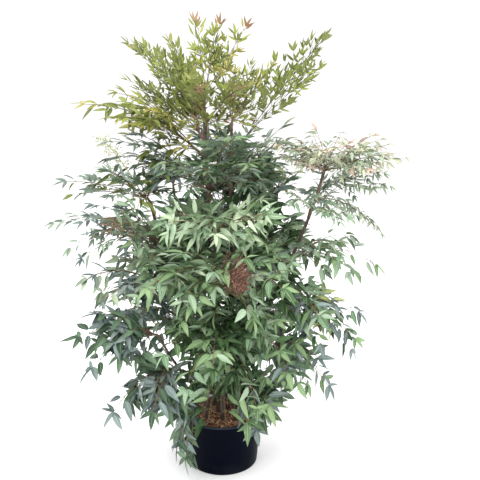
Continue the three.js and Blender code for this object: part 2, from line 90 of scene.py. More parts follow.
def dealt(seed: Any, key: Any) -> Array:
    """Deals a number from -1 to 1 for each pair of whole keys, by the frame's own integer hash.

    Args:
        seed: whole numbers, one for each thing that is dealt to.
        key: which of its properties the number is for.

    Returns:
        An array of the keys' common shape.
    """
    mask = 0xFFFFFFFF
    x = np.asarray(np.asarray(seed, np.int64) * 7919 + np.asarray(key, np.int64) * 10007 + 12345)
    x = (x & mask).astype(np.uint64) * np.uint64(0x9E3779B1) & np.uint64(mask)
    x = (x ^ (x >> np.uint64(15))) * np.uint64(0x85EBCA77) & np.uint64(mask)
    x = (x ^ (x >> np.uint64(13))) * np.uint64(0xC2B2AE3D) & np.uint64(mask)
    return (x ^ (x >> np.uint64(16))).astype(float) / 2147483648.0 - 1.0


def polar(bearing: Any, reach: Any, height: Any) -> Array:
    """Points in metres from a bearing in degrees, a reach from the axis and a height in millimetres."""
    a = np.radians(bearing)
    return np.stack(np.broadcast_arrays(reach * np.cos(a), reach * np.sin(a), height), axis=-1) * MM


def turned(vectors: Array, axis: Array, angle: Array) -> Array:
    """Vectors turned about a unit axis by an angle in radians: Rodrigues' formula."""
    c, s = np.cos(angle)[..., None], np.sin(angle)[..., None]
    along = np.sum(vectors * axis, axis=-1, keepdims=True)
    return vectors * c + np.cross(axis, vectors) * s + axis * along * (1 - c)


def bezier(controls: Sequence[Array], t: Array) -> tuple[Array, Array]:
    """Points and unit tangents on Bezier curves.

    A curve is the sum of its controls weighted by Bernstein's polynomials in t, and its tangent is the
    same sum over the differences of neighbouring controls.

    Args:
        controls: the control points, each an array of shape (..., 3).
        t: parameters from 0 to 1, of a shape that broadcasts with the controls' leading shape.

    Returns:
        The points and the tangents.
    """

    def weighted(values: Sequence[Array]) -> Array:
        """The Bernstein sum of the values."""
        order = len(values) - 1
        s = np.asarray(t, float)[..., None]
        terms = [math.comb(order, k) * s**k * (1 - s) ** (order - k) * v for k, v in enumerate(values)]
        return np.sum(np.broadcast_arrays(*terms), axis=0)

    steps = [b - a for a, b in zip(controls, controls[1:])]
    return weighted(controls), unit(weighted(steps))


def linear(code: str) -> tuple[float, float, float, float]:
    """A screen colour such as "8aa04e" as linear light with full alpha."""
    channels = [int(code[k : k + 2], 16) / 255 for k in (0, 2, 4)]
    r, g, b = [c / 12.92 if c <= 0.04045 else ((c + 0.055) / 1.055) ** 2.4 for c in channels]
    return r, g, b, 1.0


# ---- Meshes ------------------------------------------------------------------------------------------


@dataclass
class Surface:
    """A mesh in arrays, before Blender gets it.

    Attributes:
        points: its vertices, (n, 3).
        faces: one array for each count of corners, (m, corners).
        uv: a texture place for each corner, in the order of the faces, or None.
        tone: a number from -1 to 1 at each vertex, which shifts its colour, or None.
        sharp: True at the vertices whose shared edges stay sharp, or None.
    """

    points: Array
    faces: list[Array]
    uv: Array | None = None
    tone: Array | None = None
    sharp: Array | None = None

    def triangles(self) -> int:
        """How many triangles the faces come to."""
        return sum(len(f) * (f.shape[1] - 2) for f in self.faces)


def joined(parts: Sequence[Surface]) -> Surface:
    """Several surfaces as one. They all have tones, or none has."""
    starts = np.cumsum([0] + [len(p.points) for p in parts[:-1]])
    return Surface(
        np.concatenate([p.points for p in parts]),
        [f + start for p, start in zip(parts, starts) for f in p.faces],
        tone=None if parts[0].tone is None else np.concatenate([p.tone for p in parts]),
    )


def welded(surface: Surface) -> Surface:
    """The surface with vertices that lie within a micrometre of each other made one."""
    _, first, same = np.unique(
        np.round(surface.points, 6), axis=0, return_index=True, return_inverse=True
    )
    same = same.reshape(-1)
    return replace(surface, points=surface.points[first], faces=[same[f] for f in surface.faces])


def grid_faces(rows: int, columns: int) -> Array:
    """Quads of a closed grid whose last column meets its first; their normals face rows x columns."""
    i, j = np.meshgrid(np.arange(rows - 1), np.arange(columns), indexing="ij")
    here = i * columns + j
    beside = i * columns + (j + 1) % columns
    return np.stack([here, beside, beside + columns, here + columns], axis=-1).reshape(-1, 4)


def tubes(lines: Array, tops: Array, radii: Array, sides: int, flat: float = 1.0) -> Surface:
    """Closed tubes along many lines at once.

    A corner lies at line + radius * (cos(a) * flat * up + sin(a) * right), where right is the tangent
    crossed with the line's top and up is right crossed with the tangent.

    Args:
        lines: points along each line, (n, k, 3).
        tops: which way each line's first corner faces, (n, 3).
        radii: a radius at each point, (n, k), or at each corner, (n, k, sides).
        sides: how many corners a ring has.
        flat: the height of the section next to its width.

    Returns:
        The surface of all the tubes.
    """
    n, k, _ = lines.shape
    tangent = unit(np.gradient(lines, axis=1))
    right = unit(np.cross(tangent, tops[:, None, :]))
    up = np.cross(right, tangent)
    a = np.arange(sides) * 2 * math.pi / sides
    ring = radii if radii.ndim == 3 else radii[..., None]
    spokes = up[:, :, None] * (np.cos(a) * flat)[:, None] + right[:, :, None] * np.sin(a)[:, None]
    points = lines[:, :, None] + ring[..., None] * spokes
    start = (np.arange(n) * k * sides)[:, None, None]
    quads = (grid_faces(k, sides)[None] + start).reshape(-1, 4)
    first = np.arange(sides)[None, ::-1] + start[:, 0]
    last = np.arange(sides)[None] + (k - 1) * sides + start[:, 0]
    return Surface(points.reshape(-1, 3), [quads, first, last])


def beads(centres: Array, axes: Array, radii: Array, stretch: float) -> Surface:
    """Small closed ovals: a pole, two rings of five corners and a pole, drawn out along each axis.

    Args:
        centres: their middles, (n, 3).
        axes: unit vectors that they are drawn out along, (n, 3).
        radii: their radii, (n,).
        stretch: their half length next to their radius.

    Returns:
        The surface of all the ovals.
    """
    side = unit(np.cross(axes, UP + 0.31 * axes[:, ::-1]))
    other = np.cross(axes, side)
    sides = 5
    a = np.arange(sides) * 2 * math.pi / sides
    rings = []
    for height, width, twist in ((-1.0, 0.0, 0.0), (-0.45, 0.9, 0.0), (0.45, 0.9, 0.5), (1.0, 0.0, 0.0)):
        b = a + twist * 2 * math.pi / sides
        spokes = side[:, None] * np.cos(b)[:, None] + other[:, None] * np.sin(b)[:, None]
        place = axes[:, None] * height * stretch + (spokes * width if width else 0)
        rings.append(centres[:, None] + radii[:, None, None] * place[:, : sides if width else 1])
    points = np.concatenate(rings, axis=1)
    k = np.arange(sides)
    after = (k + 1) % sides
    low, high, end = 1, 1 + sides, 1 + 2 * sides
    triangles = np.concatenate(
        [
            np.stack([np.zeros_like(k), low + after, low + k], axis=1),
            np.stack([low + k, low + after, high + k], axis=1),
            np.stack([low + after, high + after, high + k], axis=1),
            np.stack([high + k, high + after, np.full_like(k, end)], axis=1),
        ]
    )
    start = np.arange(len(centres)) * points.shape[1]
    return Surface(points.reshape(-1, 3), [(triangles[None] + start[:, None, None]).reshape(-1, 3)])


def make_piece(
    name: str, surface: Surface, material: Material, nodes: Sequence[str]
) -> None:
    """Puts a surface into Blender as a piece that rides on the plant.

    Args:
        name: the piece's name.
        surface: its mesh, in metres in the plant's own frame.
        material: its finish.
        nodes: the frame's nodes that it stands for.
    """
    mesh = bpy.data.meshes.new(name)
    corners = np.concatenate([f.ravel() for f in surface.faces]).astype(np.int32)
    sizes = np.concatenate([np.full(len(f), f.shape[1], np.int32) for f in surface.faces])
    mesh.vertices.add(len(surface.points))
    mesh.vertices.foreach_set("co", surface.points.astype(np.float32).ravel())
    mesh.loops.add(len(corners))
    mesh.loops.foreach_set("vertex_index", corners)
    mesh.polygons.add(len(sizes))
    mesh.polygons.foreach_set("loop_start", (np.cumsum(sizes) - sizes).astype(np.int32))
    mesh.update(calc_edges=True)
    mesh.shade_smooth()
    if surface.uv is not None:
        layer = mesh.uv_layers.new(name="UVMap")
        layer.data.foreach_set("uv", surface.uv.astype(np.float32).ravel())
    if surface.tone is not None:
        tone = mesh.attributes.new("tone", "FLOAT", "POINT")
        tone.data.foreach_set("value", surface.tone.astype(np.float32))
    if surface.sharp is not None:
        ends = np.zeros(2 * len(mesh.edges), np.int32)
        mesh.edges.foreach_get("vertices", ends)
        sharp = mesh.attributes.new("sharp_edge", "BOOLEAN", "EDGE")
        sharp.data.foreach_set("value", surface.sharp[ends.reshape(-1, 2)].all(axis=1))
    mesh.materials.append(material)
    piece = bpy.data.objects.new(name, mesh)
    bpy.context.scene.collection.objects.link(piece)
    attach(piece, "root")
    if nodes:
        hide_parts(*nodes)
    LOG.info("%s: %d triangles, stands for %d nodes", name, surface.triangles(), len(nodes))


# ---- Finishes ----------------------------------------------------------------------------------------


class Shader:
    """Adds and links nodes in one material or node group."""

    def __init__(self, tree: NodeTree) -> None:
        """Starts with an empty tree."""
        self.tree = tree
        tree.nodes.clear()

    def add(self, kind: str, inputs: dict[Any, Any] | None = None, **settings: Any) -> Node:
        """Adds a node.

        Args:
            kind: the node's type name after "ShaderNode".
            inputs: for a socket's name or number, a value or another node's output.
            settings: the node's own properties.

        Returns:
            The node.
        """
        node = self.tree.nodes.new("ShaderNode" + kind)
        for key, value in settings.items():
            setattr(node, key, value)
        self.fill(node, inputs or {})
        return node

    def fill(self, node: Node, inputs: dict[Any, Any]) -> None:
        """Sets a node's sockets, or links outputs to them."""
        for key, value in inputs.items():
            if isinstance(value, Socket):
                self.tree.links.new(value, node.inputs[key])
            else:
                node.inputs[key].default_value = value

    def math(self, operation: str, a: Any, b: Any = 0.0, c: Any = 0.0) -> Socket:
        """The output of a math node."""
        return self.add("Math", {0: a, 1: b, 2: c}, operation=operation).outputs[0]

    def times(self, a: Any, b: Any) -> Socket:
        """The product of two numbers."""
        return self.math("MULTIPLY", a, b)

    def plus(self, a: Any, b: Any) -> Socket:
        """The sum of two numbers."""
        return self.math("ADD", a, b)

    def minus(self, a: Any, b: Any) -> Socket:
        """The difference of two numbers."""
        return self.math("SUBTRACT", a, b)

    def fade(self, value: Any, low: float, high: float, to: tuple[float, float] = (0.0, 1.0)) -> Any:
        """The value carried smoothly from low and high to the two numbers."""
        inputs = {"Value": value, "From Min": low, "From Max": high, "To Min": to[0], "To Max": to[1]}
        return self.add("MapRange", inputs, interpolation_type="SMOOTHSTEP").outputs[0]

    def mix(self, factor: Any, a: Any, b: Any) -> Socket:
        """Two colours mixed; a colour mix has its colours at sockets 6 and 7 and its result at 2."""
        return self.add("Mix", {0: factor, 6: a, 7: b}, data_type="RGBA").outputs[2]

    def noise(self, vector: Any, scale: float, detail: float = 2.0) -> Socket:
        """A noise from 0 to 1 at a scale in waves to the metre."""
        node = self.add("TexNoise", {"Vector": vector, "Scale": scale, "Detail": detail})
        return node.outputs["Fac"]

    def stretched(self, vector: Any, scale: tuple[float, float, float]) -> Socket:
        """A place with each axis scaled."""
        return self.add("Mapping", {"Vector": vector, "Scale": scale}).outputs[0]

    def place(self) -> Socket:
        """The place on the object, in metres."""
        return self.add("TexCoord").outputs["Object"]

    def tone(self) -> Socket:
        """The mesh's own tone, from -1 to 1."""
        return self.add("Attribute", attribute_name="tone").outputs["Fac"]

    def bump(self, height: Any, depth: float) -> Socket:
        """A normal bent by a height from 0 to 1 that stands for a depth in metres."""
        return self.add("Bump", {"Height": height, "Distance": depth}).outputs[0]


def node_group(name: str, colours: Sequence[str]) -> tuple[Shader, Node, Node]:
    """Starts a node group that makes a colour, a roughness and a height from named colours.

    Args:
        name: the group's name.
        colours: the names of its colour inputs.

    Returns:
        The shader that builds it, its input node and its output node.
    """
    tree = bpy.data.node_groups.new(name, "ShaderNodeTree")
    for key in colours:
        tree.interface.new_socket(key, in_out="INPUT", socket_type="NodeSocketColor")
    for key, kind in (("Color", "Color"), ("Roughness", "Float"), ("Height", "Float")):
        tree.interface.new_socket(key, in_out="OUTPUT", socket_type="NodeSocket" + kind)
    shader = Shader(tree)
    return shader, tree.nodes.new("NodeGroupInput"), tree.nodes.new("NodeGroupOutput")


class Effects:
    """The node groups that several finishes share, each built once."""

    def __init__(self) -> None:
        """Builds the groups."""
        self.leaf = self._leaf()
        self.bark = self._bark()

    @staticmethod
    def _leaf() -> NodeTree:
        """A leaflet's face: a paler midrib, side veins, a tinted margin, a dull underside, and patches.

        The map's u runs from the root to the tip. Its v runs across, from 0 to 1 above and from -1 to 0
        below. Veins lie where the sine of turns * (u - slant * across) nears 1. The tone shifts the
        whole leaflet between the two main colours.
        """
        rib_edge, vein_edge, margin_edge = (0.02, 0.17), (0.55, 1.0), (0.72, 1.0)
        slant, turns, patch_scale, grain_scale = 0.22, 56.0, 9.0, 260.0
        patchy, grainy, spread = 0.9, 0.35, (-0.1, 1.1)
        veined, edged, ribbed, turned_over = 0.16, 0.5, 0.6, 0.75
        rough, rough_grain, rough_below = 0.34, 0.2, 0.18
        high_grain, deep_rib, deep_vein = 0.2, 0.6, 0.35
        s, given, out = node_group("leaf_face", ("Dark", "Light", "Rib", "Margin", "Underside"))
        uv = s.add("SeparateXYZ", {0: s.add("UVMap", uv_map="UVMap").outputs[0]})
        along, v = uv.outputs[0], uv.outputs[1]
        below = s.math("LESS_THAN", v, 0.0)
        across = s.times(s.math("ABSOLUTE", s.minus(s.math("FRACT", v), 0.5)), 2.0)
        rib = s.fade(across, *rib_edge, (1.0, 0.0))
        wave = s.math("SINE", s.times(s.minus(along, s.times(across, slant)), turns))
        vein = s.fade(wave, *vein_edge)
        margin = s.fade(across, *margin_edge)
        place = s.place()
        patches = s.noise(place, patch_scale)
        grain = s.noise(place, grain_scale)
        light = s.math("MULTIPLY_ADD", s.tone(), 0.5, 0.5)
        light = s.plus(light, s.times(s.minus(patches, 0.5), patchy))
        light = s.plus(light, s.times(s.minus(grain, 0.5), grainy))
        colour = s.mix(s.fade(light, *spread), given.outputs["Dark"], given.outputs["Light"])
        layers = ((vein, veined, "Rib"), (margin, edged, "Margin"), (rib, ribbed, "Rib"))
        for mask, share, key in (*layers, (below, turned_over, "Underside")):
            colour = s.mix(s.times(mask, share), colour, given.outputs[key])
        dull = s.plus(s.times(grain, rough_grain), s.times(below, rough_below))
        height = s.minus(s.times(grain, high_grain), s.times(rib, deep_rib))
        height = s.minus(height, s.times(vein, deep_vein))
        s.fill(out, {"Color": colour, "Roughness": s.plus(dull, rough), "Height": height})
        return s.tree

    @staticmethod
    def _bark() -> NodeTree:
        """Bark or skin: long streaks and cracks up the cane, with patches of a second colour."""
        drawn_out, long = (1.0, 1.0, 0.06), (1.0, 1.0, 0.4)
        streak_scale, patch_scale = 420.0, 34.0
        streak_edge, patch_edge, patch_share = (0.32, 0.7), (0.5, 0.72), 0.7
        rough, rough_patch = 0.55, 0.25
        s, given, out = node_group("bark_skin", ("Dark", "Light", "Patch"))
        place = s.place()
        streaks = s.noise(s.stretched(place, drawn_out), streak_scale, 4.0)
        patches = s.noise(s.stretched(place, long), patch_scale, 3.0)
        colour = s.mix(s.fade(streaks, *streak_edge), given.outputs["Dark"], given.outputs["Light"])
        mask = s.fade(patches, *patch_edge, (0.0, patch_share))
        colour = s.mix(mask, colour, given.outputs["Patch"])
        dull = s.plus(s.times(patches, rough_patch), rough)
        s.fill(out, {"Color": colour, "Roughness": dull, "Height": streaks})
        return s.tree


def principled(name: str, specular: float, roughness: float = 0.5) -> tuple[Material, Shader, Node]:
    """Starts a material with a principled shader.

    Args:
        name: the material's name.
        specular: its level of mirror reflection.
        roughness: its roughness, where nothing is linked to it.

    Returns:
        The material, the shader that builds it, and its principled node.
    """
    material = bpy.data.materials.new(name)
    material.use_nodes = True
    shader = Shader(material.node_tree)
    surface = shader.add("BsdfPrincipled", {"Roughness": roughness, "Specular IOR Level": specular})
    shader.add("OutputMaterial", {"Surface": surface.outputs[0]})
    return material, shader, surface


def grouped(name: str, tree: NodeTree, finish: Any, specular: float, depth: float) -> Material:
    """A material whose colour, roughness and height come from a group.

    Args:
        name: the material's name.
        tree: the group; each of its inputs is named for one of the finish's colours.
        finish: what holds the colours.
        specular: the level of mirror reflection.
        depth: how deep the bumps are, in metres.

    Returns:
        The material.
    """
    material, s, surface = principled(name, specular)
    group = s.add("Group", node_tree=tree)
    s.fill(group, {key: linear(getattr(finish, key.lower())) for key in group.inputs.keys()})
    colour, rough, height = (group.outputs[key] for key in ("Color", "Roughness", "Height"))
    s.fill(surface, {"Base Color": colour, "Roughness": rough, "Normal": s.bump(height, depth)})
    return material


@dataclass(frozen=True)
class LeafFinish:
    """The colours of a leaflet, as screen colours."""

    dark: str
    light: str
    rib: str
    margin: str
    underside: str
    specular: float = 0.4
    depth: float = 0.0004

    def material(self, name: str, effects: Effects) -> Material:
        """The finish as a material."""
        return grouped(name, effects.leaf, self, self.specular, self.depth)


class Tint(Enum):
    """Leaf tints. Each is dealt out to whole sprays, or to a spray's young ends."""

    BRONZE = LeafFinish("6c5036", "a07c56", "ac8c68", "80583c", "988060")
    BLUSH = LeafFinish("988070", "bda899", "c8b8a9", "987565", "b5a192")
    OLIVE = LeafFinish("787834", "a39c4c", "b5b06a", "966c34", "999c60")
    FRESH = LeafFinish("46560c", "90963a", "acb062", "807c34", "8a9648")
    SPRING = LeafFinish("3a4a12", "818a42", "959e62", "6a7036", "7a8448")
    UPPER = LeafFinish("30452f", "93a48f", "9dac98", "4f6353", "88978a")
    CREAM = LeafFinish("7c8468", "b8ba9c", "c4c6ac", "a49c80", "b2b49c")
    GREY = LeafFinish("687963", "9aa88c", "a8b59a", "8a8d76", "9da992")
    PALE = LeafFinish("627e5c", "abbc9c", "c6d4b4", "90a883", "a4b598")
    SAGE = LeafFinish("4a6c49", "91a68b", "a9ba9a", "6d8865", "8fa389")
    MIDDLE = LeafFinish("2b4a22", "7f996a", "9db08e", "547250", "7f9474", 0.3)
    DEEP = LeafFinish("384842", "74837e", "96a3a0", "52615d", "768681")
    # The next two tints are painted shade: darker leaves for where the inside of the crown lies in shadow.
    SHADE = LeafFinish("243a2a", "60785c", "74896c", "3a5040", "52654f", 0.2)
    INNER = LeafFinish("122612", "3e5834", "5c7252", "2a4024", "34492c", 0.15)
    LIME = LeafFinish("7e8a4a", "a5ae6e", "babf88", "94925e", "a3aa7c")

    @property
    def slot(self) -> str:
        """The record's material slot for the tint."""
        young = (Tint.BRONZE, Tint.OLIVE, Tint.FRESH, Tint.SPRING)
        upper = (Tint.BLUSH, Tint.UPPER, Tint.GREY, Tint.CREAM)
        lower = (Tint.DEEP, Tint.SHADE, Tint.INNER)
        named = {young: "young_foliage", upper: "upper_foliage", lower: "lower_foliage"}
        return next((slot for tints, slot in named.items() if self in tints), "middle_foliage")


@dataclass(frozen=True)
class BarkFinish:
    """The colours of a cane, a twig or a stalk, as screen colours."""

    dark: str
    light: str
    patch: str
    depth: float = 0.0006
    specular: float = 0.3

    def material(self, name: str, effects: Effects) -> Material:
        """The finish as a material."""
        return grouped(name, effects.bark, self, self.specular, self.depth)


CANE_BARK = BarkFinish("2f2621", "66574d", "75685a")
GREEN_TWIG = BarkFinish("4d5a35", "7d8a55", "7a5a40", 0.0002)
RED_TWIG = BarkFinish("4c382d", "7a6250", "66683f", 0.0002)
DRY = BarkFinish("5a4230", "a68462", "7c6044", 0.0004)
BERRY = BarkFinish("40281e", "9c7060", "785444", 0.0004)
PALE_BUD = BarkFinish("8f9a62", "c9cc98", "b6a878", 0.0003)


@dataclass(frozen=True)
class PotFinish:
    """Black moulded plastic: a bluish cast, scuffs, a painted highlight on the lip, and dust towards the
    foot.

    Attributes:
        body, scuff, rubbed, dust: screen colours.
        dusty: the height up to which there is dust, in metres.
        lip: the heights between which the lip's painted highlight sets in, in metres.
        rough, specular, depth: its least roughness, its mirror reflection, and its bumps in metres.
    """

    body: str = "020511"
    scuff: str = "101626"
    # The lip's colour: a painted highlight.
    lip_highlight: str = "2e353d"
    dust: str = "45454c"
    dusty: float = 0.05
    lip: tuple[float, float] = (0.1580, 0.1600)
    rough: float = 0.28
    specular: float = 0.03
    depth: float = 0.0002

    def material(self) -> Material:
        """The finish as a material."""
        cloud_scale, scratch_scale, grain_scale, stretch = 26.0, 60.0, 1400.0, (1.0, 1.0, 14.0)
        scuffed, most_dust, rough_cloud, rough_scuff = 0.55, 0.1, 0.22, 0.2
        material, s, surface = principled("black_pot", self.specular)
        place = s.place()
        height = s.add("SeparateXYZ", {0: place}).outputs[2]
        cloud = s.noise(place, cloud_scale, 4.0)
        scratch = s.noise(s.stretched(place, stretch), scratch_scale, 3.0)
        grain = s.noise(place, grain_scale)
        worn = s.times(s.fade(scratch, 0.6, 0.78), s.fade(cloud, 0.4, 0.7))
        low = s.times(s.fade(height, 0.0, self.dusty, (most_dust, 0.0)), s.fade(cloud, 0.35, 0.7))
        # Painted highlight: the lip is lightened, and more so where the cloud noise is high.
        lip = s.times(s.fade(height, *self.lip), s.fade(cloud, 0.2, 0.6, (0.5, 1.0)))
        colour = s.mix(s.times(worn, scuffed), linear(self.body), linear(self.scuff))
        colour = s.mix(low, colour, linear(self.dust))
        colour = s.mix(lip, colour, linear(self.lip_highlight))
        rough = s.plus(s.plus(s.times(cloud, rough_cloud), s.times(worn, rough_scuff)), self.rough)
        normal = s.bump(s.plus(grain, scratch), self.depth)
        s.fill(surface, {"Base Color": colour, "Roughness": rough, "Normal": normal})
        return material


@dataclass(frozen=True)
class MulchFinish:
    """Shredded bark: each shred its own shade, from near black to a pale red brown."""

    dark: str = "70381e"
    light: str = "ffd2aa"
    grey: str = "f0d6c0"
    rough: float = 0.9
    specular: float = 0.2
    depth: float = 0.0006

    def material(self, name: str) -> Material:
        """The finish as a material."""
        fibre_scale, patch_scale, toned, greyed = 520.0, 45.0, 0.4, 0.4
        material, s, surface = principled(name, self.specular, self.rough)
        place = s.place()
        fibre = s.noise(place, fibre_scale, 4.0)
        patches = s.noise(place, patch_scale, 3.0)
        shade = s.plus(s.times(s.tone(), toned), s.plus(patches, fibre))
        colour = s.mix(s.fade(shade, 0.45, 1.6), linear(self.dark), linear(self.light))
        colour = s.mix(s.fade(fibre, 0.55, 0.75, (0.0, greyed)), colour, linear(self.grey))
        s.fill(surface, {"Base Color": colour, "Normal": s.bump(fibre, self.depth)})
        return material


# ---- Pot and potting mix -----------------------------------------------------------------------------


@dataclass
class Pot:
    """The black pot: a thin tapering wall, a rolled lip and a base with six drain holes. Millimetres."""

    rim: float = 120.0
    foot: float = 104.5
    height: float = 165.0
    wall: float = 2.2
    base: float = 3.0
    lip_height: float = 6.0
    lip_depth: float = 2.6
    drain_radius: float = 7.0
    drain_ring: float = 78.0
    drains: int = 6
    hub: float = 40.0
    bevel: float = 6.0
    fillet: float = 2.6
    arc_steps: int = 24
    finish: PotFinish = field(default_factory=PotFinish)

    def outer(self, z: Any) -> Any:
        """The wall's outer radius at a height, straight from the foot to under the lip."""
        return self.foot + (self.rim - self.lip_depth - self.foot) * z / self.height

    @property
    def under_edge(self) -> float:
        """The radius at which the underside meets the wall."""
        return self.foot - self.bevel

    @property
    def inner_edge(self) -> float:
        """The radius at which the base's upper face meets the wall."""
        return self.outer(self.base) - self.wall - self.fillet

    def profile(self) -> Array:
        """The wall's section, from the underside's edge up outside, over the lip and down inside."""
        top, lip = self.height, self.lip_height
        outside = [[self.under_edge, 0]]
        outside += [[self.foot - 3, 0.3], [self.foot - 1.1, 1.1], [self.foot - 0.3, 3]]
        outside += [[self.outer(z), z] for z in np.linspace(6, top - lip - 1.5, 22)]
        roll = self.lip_depth + 0.25
        edge = [
            [self.outer(top - lip) + 0.3, top - lip - 0.6],
            [self.rim - 0.9, top - lip - 0.1],
            [self.rim - 0.2, top - lip + 0.8],
            [self.rim, top - lip / 2],
            [self.rim - 0.1, top - 1.1],
            [self.rim - 0.8, top - 0.2],
            [self.rim - roll * 0.7, top],
            [self.outer(top) - self.wall * 0.6, top - 0.1],
            [self.outer(top) - self.wall, top - 0.9],
        ]
        inside = [[self.outer(z) - self.wall, z] for z in np.linspace(top - 4, self.base + 4, 14)]
        corner = self.outer(self.base) - self.wall
        inside += [[corner - 0.6, self.base + 1.2], [self.inner_edge, self.base]]
        return np.array(outside + edge + inside)

    def wall_surface(self) -> Surface:
        """The section carried round the axis: (r cos a, r sin a, z)."""
        profile = self.profile()
        a = np.arange(self.drains * self.arc_steps) * 2 * math.pi / (self.drains * self.arc_steps)
        r, z = profile[:, :1], profile[:, 1:]
        points = np.stack([r * np.cos(a), r * np.sin(a), z + 0 * a], axis=-1)
        return Surface(points.reshape(-1, 3) * MM, [grid_faces(len(profile), len(a))[:, ::-1]])

    def base_surface(self, z: float, edge: float, down: bool) -> list[Surface]:
        """One face of the base, with its holes.

        Each of six wedges runs between its hole and its own outline: a point is a mix of the two at the
        same step round both. The hub is a disc about a pole.

        Args:
            z: its height.
            edge: the radius that it meets the wall at.
            down: whether it faces down.

        Returns:
            The wedges, and the hub last.
        """
        m, half = self.arc_steps, math.pi / self.drains
        share = np.arange(m) / m
        arcs = [half * (2 * share - 1), np.full(m, half), half * (1 - 2 * share), np.full(m, -half)]
        radii = [np.full(m, edge), edge + (self.hub - edge) * share, np.full(m, self.hub)]
        radii.append(self.hub + (edge - self.hub) * share)
        r, a = np.concatenate(radii), np.concatenate(arcs)
        outline = np.stack([r * np.cos(a), r * np.sin(a)], axis=-1)
        way = unit(outline - [self.drain_ring, 0.0])
        hole = np.array([self.drain_ring, 0.0]) + self.drain_radius * way
        rings = 5
        mixes = np.linspace(0, 1, rings)[:, None, None]
        sheet = hole * (1 - mixes) + outline * mixes
        quads = grid_faces(rings, 4 * m)
        parts = []
        for k in range(self.drains):
            c, s = math.cos(2 * half * k), math.sin(2 * half * k)
            flat = sheet.reshape(-1, 2) @ np.array([[c, s], [-s, c]])
            points = np.column_stack([flat, np.full(len(flat), z)]) * MM
            parts.append(Surface(points, [quads if down else quads[:, ::-1]]))
        ring = np.arange(self.drains * m) * 2 * half / m + half
        rim = np.column_stack([self.hub * np.cos(ring), self.hub * np.sin(ring), np.full(len(ring), z)])
        spokes = np.arange(len(ring))
        fan = np.stack([np.full_like(spokes, len(ring)), (spokes + 1) % len(ring), spokes], axis=1)
        hub = np.vstack([rim, [[0, 0, z]]]) * MM
        parts.append(Surface(hub, [fan if down else fan[:, ::-1]]))
        return parts

    def drain_walls(self, lower: list[Surface], upper: list[Surface]) -> list[Surface]:
        """The sides of the holes, between the rings that start each wedge of the base's two faces."""
        m = 4 * self.arc_steps
        rings = [np.stack([a.points[:m], b.points[:m]]) for a, b in zip(lower[:-1], upper[:-1])]
        return [Surface(ring.reshape(-1, 3), [grid_faces(2, m)]) for ring in rings]

    def build(self) -> None:
        """Makes the pot and dresses it."""
        lower = self.base_surface(0.0, self.under_edge, True)
        upper = self.base_surface(self.base, self.inner_edge, False)
        surface = welded(joined([self.wall_surface(), *lower, *upper, *self.drain_walls(lower, upper)]))
        make_piece("pot_shell", surface, self.finish.material(), ["pot"])


@dataclass(frozen=True)
class Shred:
    """How the shreds of bark lie on the mix, and what size they are. Millimetres and radians.

    Attributes:
        count: how many there are.
        clear, wall_gap: how far their middles and their ends keep from the mix's edge.
        aside: how far they stray from their places.
        tilt: how steeply they lie at most.
        half, half_stray: half their length, and how far it strays.
        extra, rare: how much longer that is for some, which are dealt a number above this.
        lift, lift_stray: how high their middles lie over the mix at least, and what some have on top.
        curl: how far their ends bend aside, as a share of half their length.
        width, width_stray: half their width, and how far it strays.
        taper: what is left of it at each of four rings.
    """

    count: int = 950
    clear: float = 6.0
    wall_gap: float = 2.0
    aside: float = 3.0
    tilt: float = 0.28
    half: float = 6.5
    half_stray: float = 4.5
    extra: float = 5.0
    rare: float = 0.7
    lift: float = 1.4
    lift_stray: float = 1.8
    curl: float = 0.22
    width: float = 1.5
    width_stray: float = 0.9
    taper: tuple[float, ...] = (0.45, 1.0, 0.9, 0.3)


